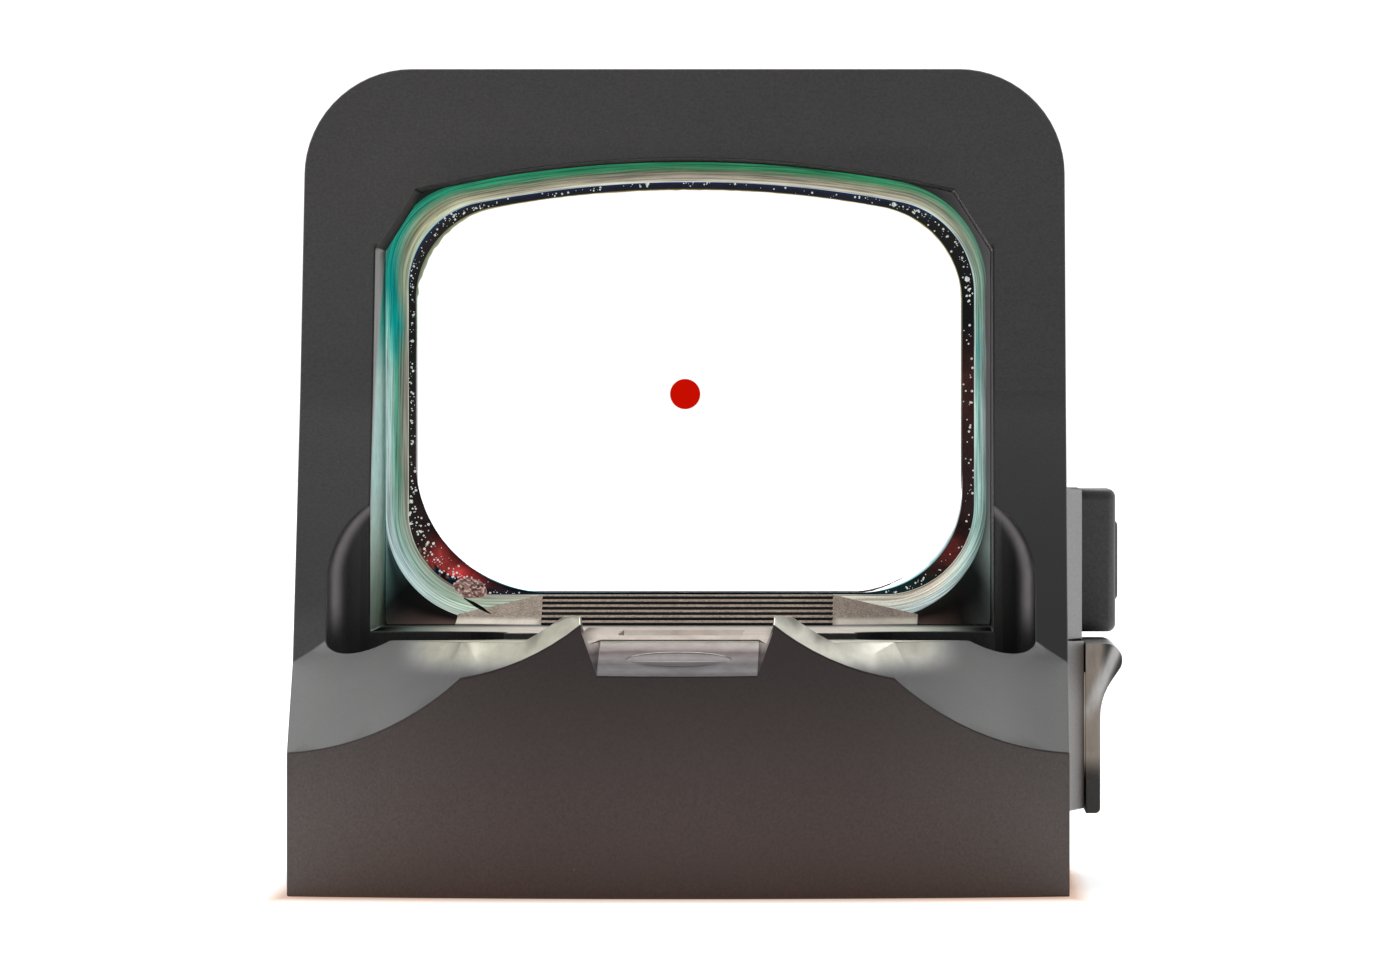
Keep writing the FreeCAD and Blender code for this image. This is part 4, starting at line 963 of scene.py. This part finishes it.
# 330 is brighter than white: the clear resin there glows as painted light, as bright as the backdrop.
SQUEEZE_BANDS = colour_table(
    (0.0, 0.5, 1.0),
    ("floor_right", 0.5, (200, 225, 220), (190, 220, 216), (190, 220, 216)),
    ("low_right", 0.06, (330, 330, 330), (330, 330, 330), (60, 200, 216)),
    ("low_right", 0.5, (330, 330, 330), (330, 330, 330), (40, 150, 160)),
    ("low_right", 0.95, (330, 330, 330), (330, 330, 330), (70, 80, 70)),
    ("right", 0.12, (120, 140, 120), (60, 50, 40), (40, 26, 22)),
    ("top_right", 0.5, (214, 206, 120), (150, 140, 96), (70, 62, 42)),
    ("top", 0.5, (206, 186, 120), (120, 96, 56), (70, 52, 30)),
    ("top", 0.9, (212, 204, 120), (150, 130, 76), (86, 76, 46)),
    ("top_left", 0.5, (168, 176, 138), (140, 146, 118), (112, 116, 92)),
    ("left", 0.1, (150, 168, 140), (122, 140, 122), (84, 98, 84)),
    ("left", 0.3, (120, 150, 122), (90, 110, 90), (40, 48, 40)),
    ("left", 0.9, (70, 100, 90), (40, 60, 54), (20, 26, 24)),
    ("low_left", 0.6, (40, 90, 110), (30, 60, 74), (60, 30, 34)),
    ("low_left", 0.85, (40, 220, 236), (10, 190, 210), (20, 60, 90)),
    ("floor_left", 0.2, (60, 226, 240), (40, 210, 226), (60, 150, 160)),
    ("floor_left", 0.8, (190, 236, 240), (180, 230, 236), (170, 210, 214)))

SQUEEZE_EDGE = squeezed(CLEAR_EDGE, GLUE_EDGE, squeeze_width)
TUNNEL_EDGE = out_to_tunnel(GROUND_EDGE, LENS_EDGE)

# Strips round the lens window; each glows with its colours, which are partly the resin, adhesive and ground
# glass themselves and partly painted light: the backdrop through glass and resin, the sheen of the lens
# coating, and painted shade and sheen in the gap round the lens.
ring_strip("adhesive_squeeze_out", painted("squeeze_glow", 0.15, 0.85, 0.05, 0.25),
           [SQUEEZE_EDGE, CLEAR_EDGE], [0.02, 0.03], partial(banded, SQUEEZE_BANDS, 0.1), rows_between=3)
ring_strip("lens_adhesive_line", painted("adhesive_paint", 0.12, 0.7, 0.05, 0.5),
           [CLEAR_EDGE, GLUE_EDGE], [0.02, 0.06], glue_colour, rows_between=12)
ring_strip("lens_edge", painted("lens_edge_glow", 0.25, 0.8, 0.08, 0.2, line_scale=0.05),
           [GLUE_EDGE, LINE_EDGE, GROUND_EDGE, COAT_EDGE, LENS_EDGE], [0.07, 0.08, 0.1, 0.08, 0.04],
           partial(banded, EDGE_BANDS, 0.12), rows_between=8)
ring_strip("lens_seal_bead_painted_light", painted("bead_painted_light", 0.5, 0.8, 0.12, 0.25),
           [LENS_EDGE, TUNNEL_EDGE], [0.03, 0.02], partial(banded, BEAD_LIGHT_BANDS, 0.1), rows_between=8)


def add_bubble(vertices, faces, x, z, stand, radius):
    """A low bead on the lens plane, flattened along the line of sight."""
    first = len(vertices)
    around, rows = 7, 3
    y, depth = lens_low.y - stand, radius * 0.6
    vertices.append((x, y - depth, z))
    for r in range(1, rows + 1):
        tilt = math.pi / 2 * r / rows
        reach = radius * math.sin(tilt)
        for k in range(around):
            turn = 2 * math.pi * k / around
            vertices.append((x + reach * math.cos(turn), y - depth * math.cos(tilt),
                             z + reach * math.sin(turn)))
    faces += fan_faces(first, around)
    faces += ring_faces(first + 1, rows - 1, around)


CROWDS = (
    ("low_right", 0.1, 0.5, 26, 0.036), ("low_right", 0.5, 1.0, 10, 0.03), ("right", 0.0, 1.0, 40, 0.034),
    ("top_right", 0.0, 1.0, 80, 0.032), ("top", 0.0, 1.0, 64, 0.03), ("top_left", 0.0, 1.0, 84, 0.03),
    ("left", 0.0, 1.0, 72, 0.03), ("low_left", 0.0, 0.4, 64, 0.038), ("low_left", 0.4, 0.72, 50, 0.032),
    ("low_left", 0.72, 1.0, 24, 0.024))
LARGE_BUBBLES = ((8.96, 19.08, 0.085), (-1.3, 22.16, 0.07), (6.6, 21.5, 0.06), (-8.84, 17.1, 0.05))


def bubbles():
    """Trapped air in the adhesive, thickest round the left side and the upper corners; the bubbles glow
    white, a painted light.
    """
    vertices, faces = [], []
    for segment, start, end, count, size in CROWDS:
        for _ in range(count):
            index = int(at(segment, random.uniform(start, end))) % COUNT
            across = min(0.92, max(0.1, random.gauss(0.58, 0.2)))
            (x0, z0), (x1, z1) = CLEAR_EDGE[index], GLUE_EDGE[index]
            radius = size * random.choice((0.35, 0.45, 0.55, 0.7, 0.9, 1.2))
            add_bubble(vertices, faces, x0 + (x1 - x0) * across, z0 + (z1 - z0) * across,
                       0.025 + 0.045 * across, radius)
    for x, z, radius in LARGE_BUBBLES:
        add_bubble(vertices, faces, x, z, 0.05, radius)
    material, shader = new_material("bubble_white")
    soft = noise_value(0.08)
    coat(shader, Base_Color=spread(soft, (0.55, 0.62, 0.58), (0.95, 0.97, 0.92)),
         Emission_Color=spread(soft, (0.4, 0.46, 0.42), (0.9, 0.95, 0.88)), Emission_Strength=0.75,
         Roughness=0.2)
    mesh_piece("adhesive_bubbles", "housing", material, vertices, faces)


BLOB_X, BLOB_Z, BLOB_HALF_WIDTH, BLOB_HALF_HEIGHT = -6.97, 9.17, 0.56, 0.31


def glue_blob():
    """A blob of hardened resin at the lower left corner of the window, with a pebbled skin; it glows with its
    colours.
    """
    around, rows = 48, 14
    vertices, colours, uvs = [], [], []
    for r in range(rows + 1):
        tilt = math.pi / 2 * r / rows
        for k in range(around):
            turn = 2 * math.pi * k / around
            reach = 1 + 0.16 * ripple(math.cos(turn) * 1.4, math.sin(turn) * 1.4, 6)
            x = BLOB_HALF_WIDTH * math.sin(tilt) * math.cos(turn) * reach
            z = BLOB_HALF_HEIGHT * math.sin(tilt) * math.sin(turn) * reach
            pebble = ripple(x * 14, z * 14, 2)
            stand = 0.09 + 0.16 * math.cos(tilt) + 0.03 * pebble * math.sin(tilt * 2)
            vertices.append((BLOB_X + x - 0.12 * z, lens_low.y - stand, BLOB_Z + z - 0.1 * x))
            tone = (150, 120, 112) if ripple(x * 3, z * 9, 9) > 0 else (116, 88, 82)
            # Painted highlights on the pebbles' crests, painted shade in their dips and round the blob's
            # foot.
            if pebble > 0.24:
                tone = (214, 186, 176)
            if pebble < -0.3 or r == rows:
                tone = (58, 38, 36)
            colours.append(linear(*tone))
            uvs.append((x * MM, z * MM))
    mesh_piece("resin_blob", "housing", painted("blob_glow", 0.2, 0.85, 0.04, 0.35),
               vertices, ring_faces(0, rows, around), colours=colours, uvs=uvs)


def scratch():
    """A dark scratch that runs from the lens edge down over the sandy side of the ramp."""
    count = 12
    start, end = Vector((-7.18, 21.1, 8.86)), Vector((-6.3, 20.25, 8.36))
    vertices, faces = [], []
    for k in range(count + 1):
        share = k / count
        middle = start.lerp(end, share)
        half = 0.045 * math.sin(math.pi * min(0.97, max(0.08, share))) + 0.01
        lean = 0.03 * ripple(share * 3, 0, 1)
        vertices += [(middle.x - half * 0.5, middle.y, middle.z - half + lean),
                     (middle.x, middle.y - 0.02, middle.z + lean),
                     (middle.x + half * 0.5, middle.y, middle.z + half + lean)]
    for k in range(count):
        a = k * 3
        faces += [(a, a + 1, a + 4, a + 3), (a + 1, a + 2, a + 5, a + 4)]
    dark = moulded("scratch_dark", (0.022, 0.012, 0.012), 0.6)
    mesh_piece("ramp_scratch", "housing", dark, vertices, faces)


DOT_X, DOT_Z, DOT_RADIUS = -0.09, 15.4, 0.485


def red_dot():
    """The aiming dot as the observer sees it, a thin glowing disc on the rear face of the lens that stands in
    for the emitter's light reflected there.
    """
    around, rows = 64, 4
    y = lens_low.y - 0.02
    vertices = [(DOT_X, y, DOT_Z)]
    for r in range(1, rows + 1):
        radius = DOT_RADIUS * r / rows
        for k in range(around):
            turn = 2 * math.pi * k / around
            vertices.append((DOT_X + radius * math.cos(turn), y, DOT_Z + radius * math.sin(turn)))
    faces = fan_faces(0, around) + ring_faces(1, rows - 1, around)
    red = glow("dot_red", (0.555, 0.0044, 0.0), 1.0)
    mesh_piece("aiming_dot", "housing", red, vertices, faces)


bubbles()
glue_blob()
scratch()
red_dot()


# --- floor, light and camera ---

BASE_REAR, BASE_FRONT = -8.7, 27.8


def make_floor():
    """Plain pale floor that glows evenly and turns a little warm right beside the object, a painted warm
    halo.
    """
    material, shader = new_material("pale_floor")
    x, y, _ = axes(place_coordinate(), 1 / MM)
    away_x = largest(minus(maths("ABSOLUTE", x), HALF_WIDTH), 0.0)
    beyond = largest(minus(y, BASE_FRONT), minus(BASE_REAR, y))
    away_y = largest(beyond, 0.0)
    away = largest(times(away_x, 14.0), away_y)
    # Painted light: a warm halo on the floor right beside the object.
    warm = screen_ramp(fade(away, 0.3, 12.0), [
        (0.0, 210, 176, 158), (0.35, 240, 218, 204), (1.0, 255, 255, 255)])
    tone = mix(1.0, warm, spread(noise_value(40), 0.97, 1.0), "MULTIPLY")
    coat(shader, Base_Color=tone, Roughness=0.7, Emission_Color=tone, Emission_Strength=0.62)
    bpy.ops.mesh.primitive_circle_add(vertices=96, radius=3.0, fill_type="NGON", location=(0, 0, 0))
    floor = bpy.context.object
    floor.name = "floor"
    floor.data.materials.append(material)


BEHIND_OBSERVER, BEYOND_OBJECT, OVERHEAD, BACKDROP = 0.1, 1.15, 0.42, 1.15


def make_world():
    """White backdrop; as light it is bright beyond the object and dim on the observer's side."""
    world = bpy.data.worlds.new("studio")
    bpy.context.scene.world = world
    begin_tree(world)
    split = add("SeparateXYZ")
    link(add("TexCoord").outputs["Generated"], split.inputs[0])
    forward = fade(split.outputs[1], -0.75, 0.9)
    level = remap(forward, 0.0, 1.0, BEHIND_OBSERVER, BEYOND_OBJECT)
    overhead = times(fade(split.outputs[2], 0.2, 1.0), OVERHEAD)
    lit, seen = tree.nodes["Background"], add("Background")
    coat(lit, Color=1.0, Strength=largest(level, overhead))
    coat(seen, Color=1.0, Strength=BACKDROP)
    path = add("LightPath")
    mix_shaders(path.outputs["Is Camera Ray"], lit, seen, "World Output")


def area_light(name, place, target, size, power):
    light = bpy.data.lights.new(name, "AREA")
    light.shape = "DISK"
    light.size = size
    light.energy = power
    thing = new_object(name, light)
    thing.location = place
    thing.rotation_euler = (Vector(target) - Vector(place)).to_track_quat("-Z", "Y").to_euler()


CAMERA_DISTANCE, CAMERA_SIDE, CAMERA_HEIGHT = 640.0, 6.72, 15.4
VIEW_WIDTH = 42.9
AIM_X, AIM_Z = 0.67, 12.46


def make_camera():
    camera = bpy.data.cameras.new("camera")
    camera.sensor_width = 36
    camera.lens = 36 * CAMERA_DISTANCE / VIEW_WIDTH
    camera.clip_start, camera.clip_end = 0.05, 20
    thing = new_object("camera", camera)
    thing.location = Vector((CAMERA_SIDE, BASE_REAR - CAMERA_DISTANCE, CAMERA_HEIGHT)) * MM
    target = Vector((AIM_X, BASE_REAR, AIM_Z)) * MM
    thing.rotation_euler = (target - thing.location).to_track_quat("-Z", "Y").to_euler()
    bpy.context.scene.camera = thing


make_floor()
make_world()
make_camera()
area_light("high_front", (0.0, 1.6, 1.9), (0, 0, 0.01), 1.2, 12.0)
bpy.context.scene.view_settings.view_transform = "Standard"
